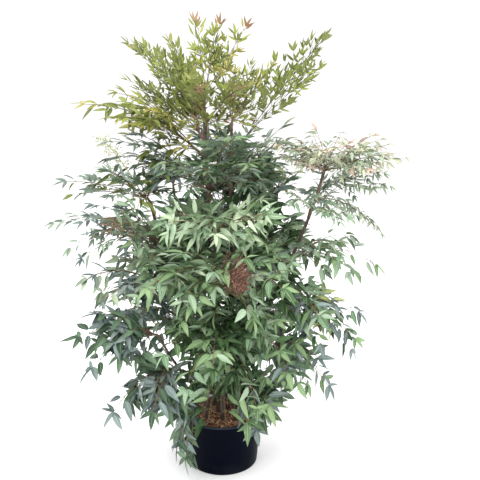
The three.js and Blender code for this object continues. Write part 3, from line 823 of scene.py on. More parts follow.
@dataclass
class PottingMix:
    """The mix in the pot, rough on top, and the shredded bark that lies on it. Millimetres."""

    top: float = 152.0
    dome: float = 4.0
    reach: float = 115.0
    foot_reach: float = 101.0
    floor: float = 3.4
    rings: int = 30
    spokes: int = 120
    lump: float = 0.9
    tone: float = -0.9
    shred: Shred = Shred()
    finish: MulchFinish = field(default_factory=MulchFinish)

    def height(self, x: Array, y: Array) -> Array:
        """The top's height: a low dome with lumps, the sum of a few crossed waves."""
        r = np.hypot(x, y) / self.reach
        lumps = np.sin(0.21 * x + 1.3) * np.cos(0.18 * y) + 0.6 * np.sin(0.43 * x - 0.37 * y)
        lumps = lumps + 0.5 * np.cos(0.71 * y + 0.3 * x + 2.0)
        return self.top - self.dome * r**2 + self.lump * lumps * (1 - r**6)

    def bed(self) -> Surface:
        """The mix as a closed body: a disc of rings and spokes over a tapering side and a flat floor."""
        a = np.arange(self.spokes) * 2 * math.pi / self.spokes
        r = self.reach * (np.arange(1, self.rings + 1) / self.rings)[:, None]
        x, y = r * np.cos(a), r * np.sin(a)
        top = np.stack([x, y, self.height(x, y)], axis=-1)
        foot = np.stack([self.foot_reach * np.cos(a), self.foot_reach * np.sin(a)], axis=-1)
        low = np.concatenate([foot, np.full((self.spokes, 1), self.floor)], axis=1)
        points = np.concatenate([top, low[None]]).reshape(-1, 3)
        count = len(points)
        middle = [[0, 0, float(self.height(np.zeros(1), np.zeros(1))[0])], [0, 0, self.floor]]
        points = np.vstack([points, middle]) * MM
        k = np.arange(self.spokes)
        after = (k + 1) % self.spokes
        cap = np.stack([np.full_like(k, count), k, after], axis=1)
        last = count - self.spokes
        floor = np.stack([np.full_like(k, count + 1), last + after, last + k], axis=1)
        quads = grid_faces(self.rings + 1, self.spokes)[:, ::-1]
        return Surface(points, [quads, cap, floor], tone=np.full(len(points), self.tone))

    def shred_surface(self) -> Surface:
        """Bent, flattened shreds of bark, laid on the mix by the golden turn, tapered at both ends."""
        shred = self.shred
        n = np.arange(shred.count)
        r = (self.reach - shred.clear) * np.sqrt((n + 0.5) / shred.count)
        a = n * GOLDEN_TURN
        x, y = r * np.cos(a) + shred.aside * dealt(n, 1), r * np.sin(a) + shred.aside * dealt(n, 2)
        heading = math.pi * dealt(n, 3)
        tilt = shred.tilt * dealt(n, 4)
        half = shred.half + shred.half_stray * dealt(n, 5) + shred.extra * (dealt(n, 6) > shred.rare)
        level = np.cos(tilt)
        way = np.stack([np.cos(heading) * level, np.sin(heading) * level, np.sin(tilt)], 1)
        bend = np.stack([-np.sin(heading), np.cos(heading), 0.6 * np.ones_like(heading)], 1)
        t = np.array([-1.0, -0.35, 0.35, 1.0])[None, :, None]
        above = self.height(x, y) + shred.lift + shred.lift_stray * np.abs(dealt(n, 7))
        middle = np.stack([x, y, above], 1)
        curl = (shred.curl * half * dealt(n, 8))[:, None, None]
        lines = middle[:, None] + way[:, None] * half[:, None, None] * t
        lines = lines + bend[:, None] * curl * (1 - t**2)
        spread = np.hypot(lines[..., 0], lines[..., 1])
        inside = np.minimum(1.0, (self.reach - shred.wall_gap) / np.maximum(spread, 1e-6))
        lines[..., :2] *= inside[..., None]
        width = (shred.width + shred.width_stray * dealt(n, 9))[:, None] * np.array(shred.taper)
        surface = tubes(lines * MM, np.tile(UP, (len(n), 1)), width * MM, 4, flat=0.5)
        return replace(surface, tone=np.repeat(dealt(n, 10), 4 * len(shred.taper)))

    def build(self) -> None:
        """Makes the mix and its bark, and dresses them."""
        material = self.finish.material("bark_mulch")
        make_piece("mix_bed", self.bed(), material, ["potting_mix"])
        make_piece("bark_shreds", self.shred_surface(), material, [])


# ---- Canes -------------------------------------------------------------------------------------------


@dataclass(frozen=True)
class Cane:
    """A bare cane. Millimetres.

    Attributes:
        name: what it's called.
        foot, top: its two ends in plan.
        height: its tip's height.
        radius: its radius at the foot, apart from the flare.
        bow: how far it bows outwards.
    """

    name: str
    foot: tuple[float, float]
    top: tuple[float, float]
    height: float
    radius: float
    bow: float

    FLARE, FLARE_FALL = 1.5, 28.0
    TIP_SHARE = 0.62
    FOOT_HEIGHT, SUNK = 152.3, 3.0
    RISE_SHARE, LEAN_SHARE = 0.3, 0.62
    JOINTS, JOINTS_PER_METRE, JOINT_WIDTH = 12, 14, 0.07
    BEAD, NECK = 0.16, 0.06
    STUB, STUB_STRAY = 11, 6
    FIRST_STUB, STUB_RUN = 0.06, 0.86

    def controls(self) -> list[Array]:
        """The cane's cubic curve: upright out of the mix, then leaning and bowing outwards."""
        start = np.array([*self.foot, self.FOOT_HEIGHT])
        end = np.array([*self.top, self.height])
        rise = np.array([*self.foot, start[2] + self.RISE_SHARE * (end[2] - start[2])])
        outwards = unit(np.array([end[0] - start[0], end[1] - start[1], 0.0]))
        middle = start + self.LEAN_SHARE * (end - start) + self.bow * outwards
        return [p * MM for p in (start, rise, middle, end)]

    def at_height(self, height: float) -> tuple[Array, Array, float]:
        """The point, the tangent and the share of the length where the cane reaches a height."""
        points, tangents = bezier(self.controls(), np.linspace(0, 1, 400))
        k = int(np.searchsorted(points[:, 2], height * MM))
        k = min(k, len(points) - 1)
        lengths = np.cumsum(np.linalg.norm(np.diff(points, axis=0, prepend=points[:1]), axis=1))
        return points[k], tangents[k], float(lengths[k] / lengths[-1])

    def radius_at(self, share: Any) -> Any:
        """The radius along the cane, in metres, apart from its flare."""
        return self.radius * (1 + (self.TIP_SHARE - 1) * share) * MM

    def raised(self, phase: Array, centre: float) -> Array:
        """Rings of height 1: a bell curve about one share of the way from joint to joint."""
        return np.exp(-(((phase - centre) / self.JOINT_WIDTH) ** 2))

    def surface(self, seed: int, rings: int = 230, sides: int = 14) -> Surface:
        """The cane with its joints and furrows.

        The radius is the tapering one, times 1 plus a flare at the foot, a bead at each joint with a
        thinner neck above it, and furrows that wander round the cane.

        Args:
            seed: a whole number of its own.
            rings: how many rings it has.
            sides: how many corners a ring has.

        Returns:
            The surface.
        """
        t = np.linspace(0, 1, rings)
        line, _ = bezier(self.controls(), t)
        a = np.arange(sides) * 2 * math.pi / sides
        joints = self.JOINTS + self.JOINTS_PER_METRE * self.height / 1000
        phase = (t * joints + 0.35 * np.sin(7 * t + seed)) % 1.0
        bead = self.BEAD * self.raised(phase, 0.5) - self.NECK * self.raised(phase, 0.66)
        flare = (self.FLARE - 1) * np.exp(-t * self.FLARE_FALL)
        furrow = 0.05 * np.cos(4 * a + 9 * t[:, None] + seed) + 0.03 * np.cos(7 * a - 23 * t[:, None])
        radii = self.radius_at(t)[:, None] * (1 + (bead + flare)[:, None] + furrow)
        line[0, 2] = (self.FOOT_HEIGHT - self.SUNK) * MM
        return tubes(line[None], np.array([[0.0, 1.0, 0.0]]), radii[None], sides)

    def stubs(self, seed: int, count: int = 14) -> Surface:
        """Dry leaf bases on the cane, each a short tapering scale that hugs it, by the golden turn.

        Args:
            seed: a whole number of its own.
            count: how many there are.

        Returns:
            The surface.
        """
        n = np.arange(count)
        t = self.FIRST_STUB + self.STUB_RUN * (n + 0.5 + 0.3 * dealt(seed, n)) / count
        at, along = bezier(self.controls(), t)
        side = unit(np.cross(along, [0.0, 1.0, 0.0]))
        out = turned(side, along, n * GOLDEN_TURN + seed)
        radius = self.radius_at(t)[:, None]
        length = (self.STUB + self.STUB_STRAY * dealt(seed, n + 50))[:, None] * MM
        steps = np.array([0.0, 0.4, 0.8, 1.0])[None, :, None]
        lean = out[:, None] * (radius[:, None] * 0.75 + length[:, None] * 0.38 * steps**1.5)
        lines = at[:, None] + lean + along[:, None] * length[:, None] * steps
        width = radius * np.array([0.62, 0.5, 0.3, 0.08])
        return tubes(lines, out, width, 5, flat=0.45)


CANES = {
    cane.name: cane
    for cane in (
        Cane("main", (-10, 4), (-46, 0), 1085, 7.5, 6),
        Cane("second", (24, 26), (28, 58), 1000, 7, 8),
        Cane("right", (44, -6), (280, -48), 895, 6.5, 22),
        Cane("left", (-46, 8), (-196, -12), 800, 6.2, 18),
        Cane("front", (2, -44), (-14, -150), 740, 6, 14),
        Cane("low_left", (-46, -40), (-165, -150), 455, 5, 16),
        Cane("low_right", (42, -46), (185, -130), 540, 5, 18),
        Cane("back_left", (-28, 46), (-150, 185), 800, 6.2, 18),
        Cane("back_right", (36, 60), (165, 190), 770, 6.2, 18),
        Cane("back", (2, 72), (8, 205), 540, 5.4, 14),
    )
}


class Canes:
    """All the canes, with their leaf bases."""

    def build(self, effects: Effects) -> None:
        """Makes the canes and dresses them."""
        parts = [cane.surface(k) for k, cane in enumerate(CANES.values())]
        material = CANE_BARK.material("cane_bark", effects)
        nodes = ["cane_" + name for name in CANES]
        make_piece("cane_bark", joined(parts), material, nodes)
        stubs = [cane.stubs(100 * (k + 1)) for k, cane in enumerate(CANES.values())]
        make_piece("leaf_bases", joined(stubs), material, [])


# ---- Sprays of foliage -------------------------------------------------------------------------------


@dataclass(frozen=True)
class Branching:
    """How pairs of side twigs leave what bears them, from its end back towards its root.

    Attributes:
        first, last: the shares of the bearer's length that they stand between.
        spacing: how far apart they stand, in leaflets.
        reach: how long they are, as a share of the bearer's length, at its root.
        fall: how fast they get shorter towards its end, which goes as (1 - share)^fall.
        turn: the angle that they leave at, in degrees.
        spread: how far they may rise out of the bearer's plane or fall below it, as a tangent.
        least: the shortest bearer that bears any, in leaflets.
        radii: a twig's radii at its root and at its end, in metres.
        rings: how many rings a twig's tube has.
        most: the most pairs that one bearer has.
    """

    first: float
    last: float
    spacing: float
    reach: float
    fall: float
    turn: float
    spread: float
    least: float
    radii: tuple[float, float]
    rings: int = 4
    most: int = 9


@dataclass(frozen=True)
class Inner:
    """The shorter fronds between a spray's own ones.

    Attributes:
        count: how many there are to each of the spray's own.
        near, far: their reach, as shares of the own frond's.
        turn: how far they may turn aside, in degrees.
        lift, rise: how far their tips lie above the own frond's line, and how much that varies, as
            shares of its length.
        level: the least share of their length that they run level.
        shy: how much shorter one is that turns right round, as a share of its length.
    """

    count: int
    near: float
    far: float
    turn: float
    lift: float
    rise: float
    level: float = 0.0
    shy: float = 0.45


@dataclass(frozen=True)
class LeafKind:
    """How the leaflets and twigs of a part of the crown are shaped.

    Attributes:
        length: a leaflet's length, in millimetres.
        width: its width.
        fan: the angle between a trio's middle leaflet and the others, in degrees.
        hang: how far it droops below its twig, as a tangent.
        curl: how far its tip curls down, as a share of its length.
        droop: how far a side twig sags at its end, as a share of its length.
        pairs: how far apart pairs of leaflets stand on a twig, in leaflets.
        hands: where above -1 to 1 hands of five stop: -1 for none, 1 for all.
        facing: how far its sprays face the front or the back rather than the sky, as a tangent.
        inner: the shorter fronds.
        pinnae: how pinnae leave the midribs.
        pinnules: how pinnules leave the pinnae.
        sway: how far a frond may be rolled about its own length, in degrees.
    """

    length: float
    width: float
    fan: float
    hang: float
    curl: float
    droop: float
    pairs: float
    hands: float
    facing: float
    inner: Inner
    pinnae: Branching
    pinnules: Branching
    sway: float = 28.0


TWIG = (0.0011, 0.0006)
FINE = (0.0007, 0.0005)
KINDS = {
    "young": LeafKind(
        30, 6.8, 38, -0.24, 0.10, -0.26, 0.88, -1, 0.0,
        Inner(2, 0.62, 1.0, 22, 0.05, 0.12),
        Branching(0.20, 0.92, 1.1, 0.30, 0.45, 40, 0.4, 0, FINE),
        Branching(0.30, 0.60, 1.2, 0.45, 0.5, 42, 0.4, 3.2, FINE, 3),
    ),
    "plume": LeafKind(
        28, 7.3, 50, 0.20, 0.25, 0.12, 0.80, -1, 0.15,
        Inner(1, 0.60, 1.0, 36, 0.08, 0.25),
        Branching(0.16, 0.86, 1.5, 0.38, 0.55, 50, 0.35, 0, FINE),
        Branching(0.25, 0.60, 1.4, 0.45, 0.6, 48, 0.4, 3.6, FINE, 3),
    ),
    "upper": LeafKind(
        46, 10.5, 46, 0.02, 0.22, -0.02, 0.85, -0.6, 0.25,
        Inner(4, 0.40, 0.85, 34, -0.04, 0.4),
        Branching(0.16, 0.86, 1.25, 0.42, 0.7, 46, 0.35, 0, FINE),
        Branching(0.28, 0.62, 1.2, 0.48, 0.6, 46, 0.45, 2.6, FINE, 3),
    ),
    "middle": LeafKind(
        51, 17.5, 60, 0.02, 0.20, 0.0, 0.85, 0.2, 0.55,
        Inner(5, 0.40, 0.82, 38, 0.0, 0.45),
        Branching(0.18, 0.84, 1.3, 0.46, 0.7, 56, 0.4, 0, TWIG),
        Branching(0.26, 0.62, 1.2, 0.52, 0.6, 56, 0.4, 2.4, FINE, 3),
    ),
    "airy": LeafKind(
        42, 12.5, 52, 0.16, 0.20, 0.10, 1.12, -1, 0.35,
        Inner(3, 0.50, 0.95, 32, 0.04, 0.4),
        Branching(0.16, 0.86, 1.5, 0.44, 0.8, 52, 0.35, 0, FINE),
        Branching(0.30, 0.60, 1.5, 0.50, 0.7, 52, 0.4, 3.0, FINE, 3),
    ),
    "lower": LeafKind(
        56, 18.0, 62, 0.06, 0.18, 0.10, 0.86, -0.2, 0.9,
        Inner(8, 0.40, 0.85, 58, 0.08, 0.5),
        Branching(0.18, 0.84, 1.25, 0.44, 0.75, 58, 0.4, 0, TWIG),
        Branching(0.30, 0.60, 1.2, 0.50, 0.6, 58, 0.4, 2.8, FINE, 3),
    ),
    "core": LeafKind(
        53, 16.5, 60, 0.05, 0.20, 0.0, 0.85, 0.2, 0.4,
        Inner(15, 0.40, 1.15, 85, -0.02, 1.1),
        Branching(0.18, 0.84, 1.3, 0.50, 0.5, 54, 0.5, 0, TWIG),
        Branching(0.24, 0.66, 1.2, 0.56, 0.5, 54, 0.5, 2.0, FINE, 3),
    ),
}
KINDS["spire"] = replace(
    KINDS["young"], width=7.6, pairs=1.0, inner=Inner(1, 0.7, 1.0, 16, 0.05, 0.08),
    pinnae=replace(KINDS["young"].pinnae, spacing=1.2),
)
KINDS["tier"] = replace(
    KINDS["upper"], length=43, width=9.2, facing=0.0, sway=9.0,
    inner=Inner(4, 0.45, 0.95, 50, 0.0, 0.36, 0.9),
    pinnae=replace(KINDS["upper"].pinnae, spacing=1.5, spread=0.14),
    pinnules=replace(KINDS["upper"].pinnules, spread=0.16),
)
KINDS["nest"] = replace(KINDS["lower"], length=50, width=16, inner=Inner(10, 0.3, 0.95, 110, 0.15, 0.7))
KINDS["wing"] = replace(KINDS["upper"], length=38, width=9.5, inner=Inner(2, 0.5, 0.95, 30, 0.0, 0.3))
KINDS["crest"] = replace(
    KINDS["wing"], length=42, width=11, inner=Inner(7, 0.5, 0.95, 180, 0.05, 0.3, 0.6)
)
KINDS["bushy"] = replace(
    KINDS["middle"], length=47, width=15.5, fan=56, hang=0.08, hands=0.5, pairs=0.9,
    inner=Inner(9, 0.3, 1.12, 62, -0.05, 0.7),
)
KINDS["breast"] = replace(KINDS["bushy"], inner=Inner(6, 0.4, 1.2, 40, 0.0, 0.45))
KINDS["skirt"] = replace(KINDS["lower"], width=17.0, inner=Inner(13, 0.4, 0.95, 75, 0.1, 0.9))
KINDS["fan"] = replace(
    KINDS["middle"], length=46, width=12, fan=52, hang=0.15, curl=0.3, hands=1.0, facing=0.75, pairs=1.6,
    sway=35.0, inner=Inner(6, 0.45, 1.0, 70, -0.02, 0.3),
)
KINDS["loose"] = replace(
    KINDS["lower"], length=52, width=15, hang=0.2, facing=0.5, inner=Inner(3, 0.5, 0.95, 40, 0.04, 0.4)
)
KINDS["tuft"] = replace(KINDS["young"], inner=Inner(7, 0.45, 0.98, 56, -0.12, 0.4))
KINDS["glade"] = replace(KINDS["core"], inner=Inner(10, 0.4, 1.15, 80, -0.02, 1.0))
KINDS["whorl"] = replace(
    KINDS["plume"], sway=12.0, pairs=0.95, inner=Inner(10, 0.75, 1.3, 180, 0.02, 0.14, 0.9, 0.15),
    pinnae=replace(KINDS["plume"].pinnae, spacing=1.6),
)
KINDS["sprig"] = replace(
    KINDS["young"], width=6.6, pairs=1.05, inner=Inner(1, 0.6, 0.9, 40, 0.05, 0.12),
    pinnae=replace(KINDS["young"].pinnae, spacing=1.35),
)
KINDS["fringe"] = replace(KINDS["lower"], inner=Inner(6, 0.65, 1.02, 14, 0.0, 0.12))


@dataclass(frozen=True)
class Spray:
    """A spray of fronds from one cane, as the frame lays it out, with its tints.

    Attributes:
        name: the frame's node.
        cane: the cane that it leaves.
        start: the height at which it leaves the cane, in millimetres, or 0 for the cane's tip.
        fronds: how many fronds it has.
        bearing, reach, height: the first and the last frond's tip, in degrees and millimetres.
        arch: how far its fronds arch, in millimetres.
        kind: its leaflets.
        tints: its leaves' tints; the first is the commonest.
        ends: the tint of its young ends, or None.
        roll: how far its fronds are rolled about their own length, in degrees.
    """

    name: str
    cane: str
    start: float
    fronds: int
    bearing: tuple[float, float]
    reach: tuple[float, float]
    height: tuple[float, float]
    arch: float
    kind: str
    tints: tuple[Tint, ...]
    ends: Tint | None = None
    roll: float = 0.0


def sprays() -> list[Spray]:
    """The sprays of the crown, in the frame's own order."""
    t = Tint
    # In these tints, SHADE and the darkest inner tint are painted shade.
    top = (t.SPRING, t.FRESH, t.SPRING, t.SPRING, t.FRESH, t.OLIVE, t.BRONZE)
    leafy = (t.UPPER, t.SPRING, t.UPPER)
    cool = (t.UPPER, t.DEEP, t.UPPER)
    plume = (t.CREAM, t.BLUSH, t.CREAM, t.GREY, t.CREAM, t.CREAM, t.GREY)
    side = (t.FRESH, t.SPRING, t.FRESH, t.SPRING, t.OLIVE)
    front = (t.MIDDLE, t.SAGE, t.MIDDLE, t.DEEP)
    inner = (t.MIDDLE, t.SHADE, t.MIDDLE)
    dark = (t.DEEP, t.SHADE, t.DEEP)
    core = (t.SHADE, t.MIDDLE, t.SHADE, t.DEEP)
    return [
        Spray("crown_tip", "main", 0, 3, (180, 347), (72, 86), (1326, 1306), 0, "sprig", side,
              t.BRONZE, 80),
        Spray("crown_left", "main", 1035, 2, (180, 192), (268, 150), (1256, 1272), 14, "young",
              side, None, 55),
        Spray("crown_front", "main", 1000, 2, (252, 294), (225, 215), (1172, 1150), 45, "tuft",
              top, t.OLIVE),
        Spray("crown_low_left", "main", 930, 2, (183, 206), (411, 330), (1096, 1070), 55, "upper",
              (t.SPRING, t.FRESH, t.SPRING, t.OLIVE), t.OLIVE, 20),
        Spray("crown_back_left", "main", 965, 2, (146, 122), (330, 262), (1120, 1200), 40, "tuft",
              (t.SPRING, t.FRESH, t.SPRING)),
        Spray("crown_back", "second", 0, 2, (50, 92), (250, 230), (1195, 1225), 20, "tuft", side,
              t.OLIVE),
        Spray("crown_right", "second", 930, 2, (0, 346), (298, 290), (1276, 1200), 18, "spire",
              (t.SPRING, t.FRESH, t.SPRING, t.SPRING), None, -50),
        Spray("upper_left", "main", 835, 2, (189, 176), (335, 352), (1000, 935), 60, "tier", cool),
        Spray("upper_front", "main", 800, 3, (236, 304), (285, 290), (965, 960), 70, "tier",
              (t.UPPER, t.MIDDLE, t.INNER)),
        Spray("upper_right", "second", 820, 2, (338, 28), (215, 235), (1015, 1040), 40, "tier",
              (t.UPPER, t.GREY, t.UPPER), t.CREAM),
        Spray("upper_back", "second", 780, 2, (72, 108), (330, 335), (1000, 985), 55, "upper", cool),
        Spray("right_tip", "right", 0, 3, (352, 357), (253, 480), (1036, 948), 22, "whorl",
              plume, t.BLUSH),
        Spray("right_far", "right", 815, 2, (354, 347), (492, 470), (862, 726), 60, "plume",
              (t.GREY, t.UPPER, t.GREY)),
        Spray("right_front", "right", 770, 2, (308, 322), (285, 400), (850, 800), 60, "plume",
              (t.GREY, t.UPPER, t.SAGE)),
        Spray("right_back", "right", 790, 2, (22, 38), (430, 400), (905, 790), 55, "wing",
              (t.GREY, t.UPPER, t.UPPER)),
        Spray("right_inner", "right", 560, 2, (296, 316), (330, 390), (690, 540), 60, "middle",
              (t.MIDDLE, t.SAGE, t.MIDDLE, t.DEEP, t.LIME)),
        Spray("right_low", "right", 640, 2, (342, 326), (480, 430), (655, 660), 75, "airy",
              (t.SAGE, t.UPPER, t.GREY, t.MIDDLE)),
        Spray("right_side", "right", 430, 2, (5, 24), (415, 400), (450, 470), 85, "airy", dark),
        Spray("left_tip", "left", 0, 2, (180, 186), (474, 350), (872, 925), 30, "crest", leafy),
        Spray("left_far", "left", 690, 2, (180, 196), (512, 460), (748, 700), 60, "wing", cool),
        Spray("left_back", "left", 640, 2, (160, 142), (445, 410), (780, 690), 60, "airy", dark),
        Spray("left_inner", "left", 600, 2, (236, 212), (330, 360), (700, 800), 60, "middle",
              (t.SAGE, t.GREY, t.MIDDLE)),
        Spray("left_front", "left", 520, 2, (196, 216), (435, 425), (620, 580), 75, "loose",
              (t.GREY, t.DEEP, t.DEEP)),
        Spray("left_side", "left", 420, 2, (176, 158), (405, 390), (430, 480), 85, "middle",
              (t.DEEP, t.GREY, t.SAGE)),
        Spray("front_tip", "front", 0, 3, (240, 298), (330, 325), (815, 840), 40, "fan",
              (t.PALE, t.PALE, t.SAGE)),
        Spray("front_mid", "front", 590, 3, (236, 300), (385, 385), (650, 655), 75, "breast",
              (t.SAGE, t.MIDDLE, t.SAGE, t.GREY)),
        Spray("front_low", "front", 430, 3, (243, 300), (375, 375), (470, 480), 90, "bushy",
              (t.MIDDLE, t.SAGE, t.MIDDLE, t.INNER)),
        Spray("front_foot", "front", 290, 2, (261, 284), (300, 310), (318, 330), 80, "skirt",
              (t.MIDDLE, t.INNER, t.MIDDLE, t.SAGE)),
        Spray("low_left_tip", "low_left", 0, 2, (205, 211), (474, 450), (476, 375), 60, "middle", dark),
        Spray("low_left_hang", "low_left", 340, 2, (217, 235), (418, 350), (245, 250), 85, "lower", dark),
        Spray("pot_left_hang", "low_left", 262, 1, (252, 252), (315, 315), (118, 118), 90, "fringe",
              (t.DEEP, t.SHADE, t.DEEP), None, 45),
        Spray("low_right_tip", "low_right", 0, 2, (337, 331), (447, 450), (530, 455), 60, "airy",
              (t.MIDDLE, t.DEEP, t.MIDDLE, t.SAGE, t.LIME)),
        Spray("low_right_hang", "low_right", 390, 2, (329, 313), (392, 342), (305, 330), 85, "nest",
              (t.DEEP, t.MIDDLE, t.SHADE)),
        Spray("pot_right_hang", "low_right", 275, 2, (285, 302), (270, 295), (208, 275), 70, "lower",
              (t.DEEP, t.MIDDLE, t.MIDDLE)),
        Spray("back_left_tip", "back_left", 0, 2, (127, 106), (410, 395), (885, 865), 40, "upper", leafy),
        Spray("back_left_mid", "back_left", 560, 2, (146, 122), (440, 430), (570, 640), 80,
              "middle", dark),
        Spray("back_right_tip", "back_right", 0, 2, (52, 74), (415, 405), (860, 840), 40, "upper", leafy),
        Spray("back_right_mid", "back_right", 540, 2, (33, 54), (445, 435), (575, 640), 80,
              "middle", front),
        Spray("back_tip", "back", 0, 3, (112, 68), (400, 400), (575, 560), 55, "middle", front),
        Spray("back_low_left", "back", 350, 2, (146, 112), (380, 370), (330, 360), 90, "lower", dark),
        Spray("back_low_right", "back", 320, 2, (33, 66), (380, 370), (325, 345), 90, "lower", inner),
        Spray("core_left", "main", 590, 2, (205, 165), (255, 260), (660, 600), 60, "core",
              (t.SAGE, t.MIDDLE, t.DEEP)),
        Spray("core_right", "second", 560, 2, (335, 12), (250, 265), (640, 690), 60, "glade",
              (t.MIDDLE, t.UPPER, t.SHADE, t.SAGE)),
        Spray("core_back", "second", 660, 2, (70, 110), (290, 290), (760, 740), 60, "core", core),
    ]


@dataclass(frozen=True)
class Blade:
    """The shape that all leaflets share, in shares of a leaflet's length.

    Attributes:
        rows: where its cross sections lie.
        swell, root, tip: its half width at a share s is its widest times swell s^root (1 - s)^tip.
        rise: how far its middle line rises from root to tip, before it curls down.
        sweep: how far its tip swings to one side at most.
        fold, fold_stray: how steeply its halves fold up, and how much that strays.
        wave: how much its rims wave, in shares of its half width.
        rib: how far its midrib stands out above and below.
    """

    rows: tuple[float, ...] = (0.07, 0.2, 0.36, 0.54, 0.72, 0.88)
    swell: float = 2.98
    root: float = 0.6
    tip: float = 1.07
    rise: float = 0.05
    sweep: float = 0.06
    fold: float = 0.34
    fold_stray: float = 0.14
    wave: float = 0.07
    rib: float = 0.006


BLADE = Blade()


@dataclass
class Leaflets:
    """Many leaflets, a row each: root, the way it points, the way it faces, sizes, tint and spray."""

    root: Array
    along: Array
    normal: Array
    length: Array
    width: Array
    curl: Array
    seed: Array
    tint: Array
    spray: Array

    def where(self, kept: Array) -> "Leaflets":
        """The rows that are kept."""
        return Leaflets(**{key: value[kept] for key, value in vars(self).items()})

    @staticmethod
    def of(parts: Sequence["Leaflets"]) -> "Leaflets":
        """Several lots as one."""
        return Leaflets(**{key: np.concatenate([vars(p)[key] for p in parts]) for key in vars(parts[0])})

    def tips(self) -> Array:
        """Where the leaflets end."""
        rise = self.normal * (self.length * (BLADE.rise - self.curl))[:, None]
        return self.root + self.along * self.length[:, None] + rise

    @property
    def left(self) -> Array:
        """The way to the left of each leaflet."""
        return np.cross(self.normal, self.along)

    def middle(self, share: Array) -> Array:
        """The middle lines at shares s of the length, (n, shares, 3).

        A line runs along the leaflet's way, rises by rise s - curl s^2, and swings aside by sweep s^2.
        """
        rise = BLADE.rise * share - self.curl[:, None] * share**2
        aside = BLADE.sweep * dealt(self.seed, 42)[:, None] * share**2
        way = self.along[:, None] * share[:, None] + self.normal[:, None] * rise[..., None]
        way = way + self.left[:, None] * aside[..., None]
        return self.root[:, None] + self.length[:, None, None] * way

    def surface(self) -> Surface:
        """The leaflets as closed blades.

        Each cross section has four points: a rim on either side, and one above and one below the middle
        line, a rib's height off it. The rims lie a half width out, folded up and waving a little. Each
        end is one point. All edges are sharp but those of the points below.

        Returns:
            The surface, with a map of (s, across) and a tone for each leaflet.
        """
        s = np.array(BLADE.rows)
        n, rows = len(self.root), len(s)
        left = self.left
        half = (self.width / 2)[:, None] * (BLADE.swell * s**BLADE.root * (1 - s) ** BLADE.tip)
        fold = BLADE.fold + BLADE.fold_stray * dealt(self.seed, 41)[:, None]
        waves = [BLADE.wave * np.sin(9 * s + 3 * dealt(self.seed, k)[:, None]) for k in (43, 44)]
        spine = self.middle(s)
        thick = (BLADE.rib * self.length)[:, None, None] * self.normal[:, None]
        rim = [
            spine
            + left[:, None] * (sign * half)[..., None]
            + self.normal[:, None] * (half * (fold + wave))[..., None]
            for sign, wave in zip((1, -1), waves)
        ]
        body = np.stack([rim[0], spine + thick, rim[1], spine - thick], axis=2).reshape(n, -1, 3)
        points = np.concatenate([body, self.middle(np.array([0.0, 1.0]))], axis=1)
        size = points.shape[1]
        base, tip, last = 4 * rows, 4 * rows + 1, 4 * (rows - 1)
        i = 4 * np.arange(rows - 1)
        left_rim, top, right_rim, under = range(4)
        bands = ((top, left_rim), (right_rim, top), (left_rim, under), (under, right_rim))
        quads = np.concatenate([np.stack([i + a, i + 4 + a, i + 4 + b, i + b], axis=1) for a, b in bands])
        triangles = [[base, a, b] for a, b in bands] + [[last + a, tip, last + b] for a, b in bands]
        start = (np.arange(n) * size)[:, None, None]
        surface = Surface(
            points.reshape(-1, 3),
            [(quads[None] + start).reshape(-1, 4), (np.array(triangles)[None] + start).reshape(-1, 3)],
            tone=np.repeat(dealt(self.seed, 45), size),
        )
        surface.uv = np.concatenate([np.tile(corners, (n, 1)) for corners in self._maps(s, bands)])
        surface.sharp = np.tile(np.arange(size) % 4 != under, n)
        return surface

    @staticmethod
    def _maps(s: Array, bands: Sequence[tuple[int, int]]) -> tuple[Array, Array]:
        """The map of one leaflet's corners: u is the share of the length, v runs across.

        Args:
            s: the shares of the rows.
            bands: the pairs of columns that faces lie between, upper ones first.

        Returns:
            The places of the quads' corners and of the triangles' corners.
        """
        across = (0.0, 0.5, 1.0, 0.5)
        quads, roots, ends = [], [], []
        for k, (a, b) in enumerate(bands):
            below = k > 1
            va, vb, mid = across[a] - below, across[b] - below, 0.5 - below
            for low, high in zip(s, s[1:]):
                quads += [[low, va], [high, va], [high, vb], [low, vb]]
            roots.append([[0.0, mid], [s[0], va], [s[0], vb]])
            ends.append([[s[-1], va], [1.0, mid], [s[-1], vb]])
        return np.array(quads), np.array(roots + ends).reshape(-1, 2)


@dataclass
class Ribs:
    """Many ribs that bear leaflets: a quadratic curve each, with what each one carries.

    Attributes:
        controls: the three control points, each (n, 3).
        top: the way that the flat spray faces, (n, 3).
        length: each rib's length, (n,).
        seed: whole numbers, (n,).
        kind: the leaf kind of all of them.
        tint: a tint's number, (n,).
        spray: a spray's number, (n,).
    """

    controls: list[Array]
    top: Array
    length: Array
    seed: Array
    kind: LeafKind
    tint: Array
    spray: Array

    def where(self, kept: Array) -> "Ribs":
        """The ribs that are kept."""
        rows = (self.top, self.length, self.seed, self.tint, self.spray)
        top, length, seed, tint, spray = (v[kept] for v in rows)
        return Ribs([c[kept] for c in self.controls], top, length, seed, self.kind, tint, spray)

    def frames(self, share: Array) -> tuple[Array, Array, Array]:
        """The point, the tangent and the way to the right at a share of each rib, (n, shares, 3)."""
        at, along = bezier([c[:, None] for c in self.controls], share)
        return at, along, unit(np.cross(along, self.top[:, None]))

    def tube(self, count: int, start: float, end: float, sides: int) -> Surface:
        """The ribs as tapering tubes with radii in metres."""
        line, _ = bezier([c[:, None] for c in self.controls], np.linspace(0, 1, count)[None])
        radii = np.broadcast_to(np.linspace(start, end, count), line.shape[:2])
        return tubes(line, self.top, radii, sides)


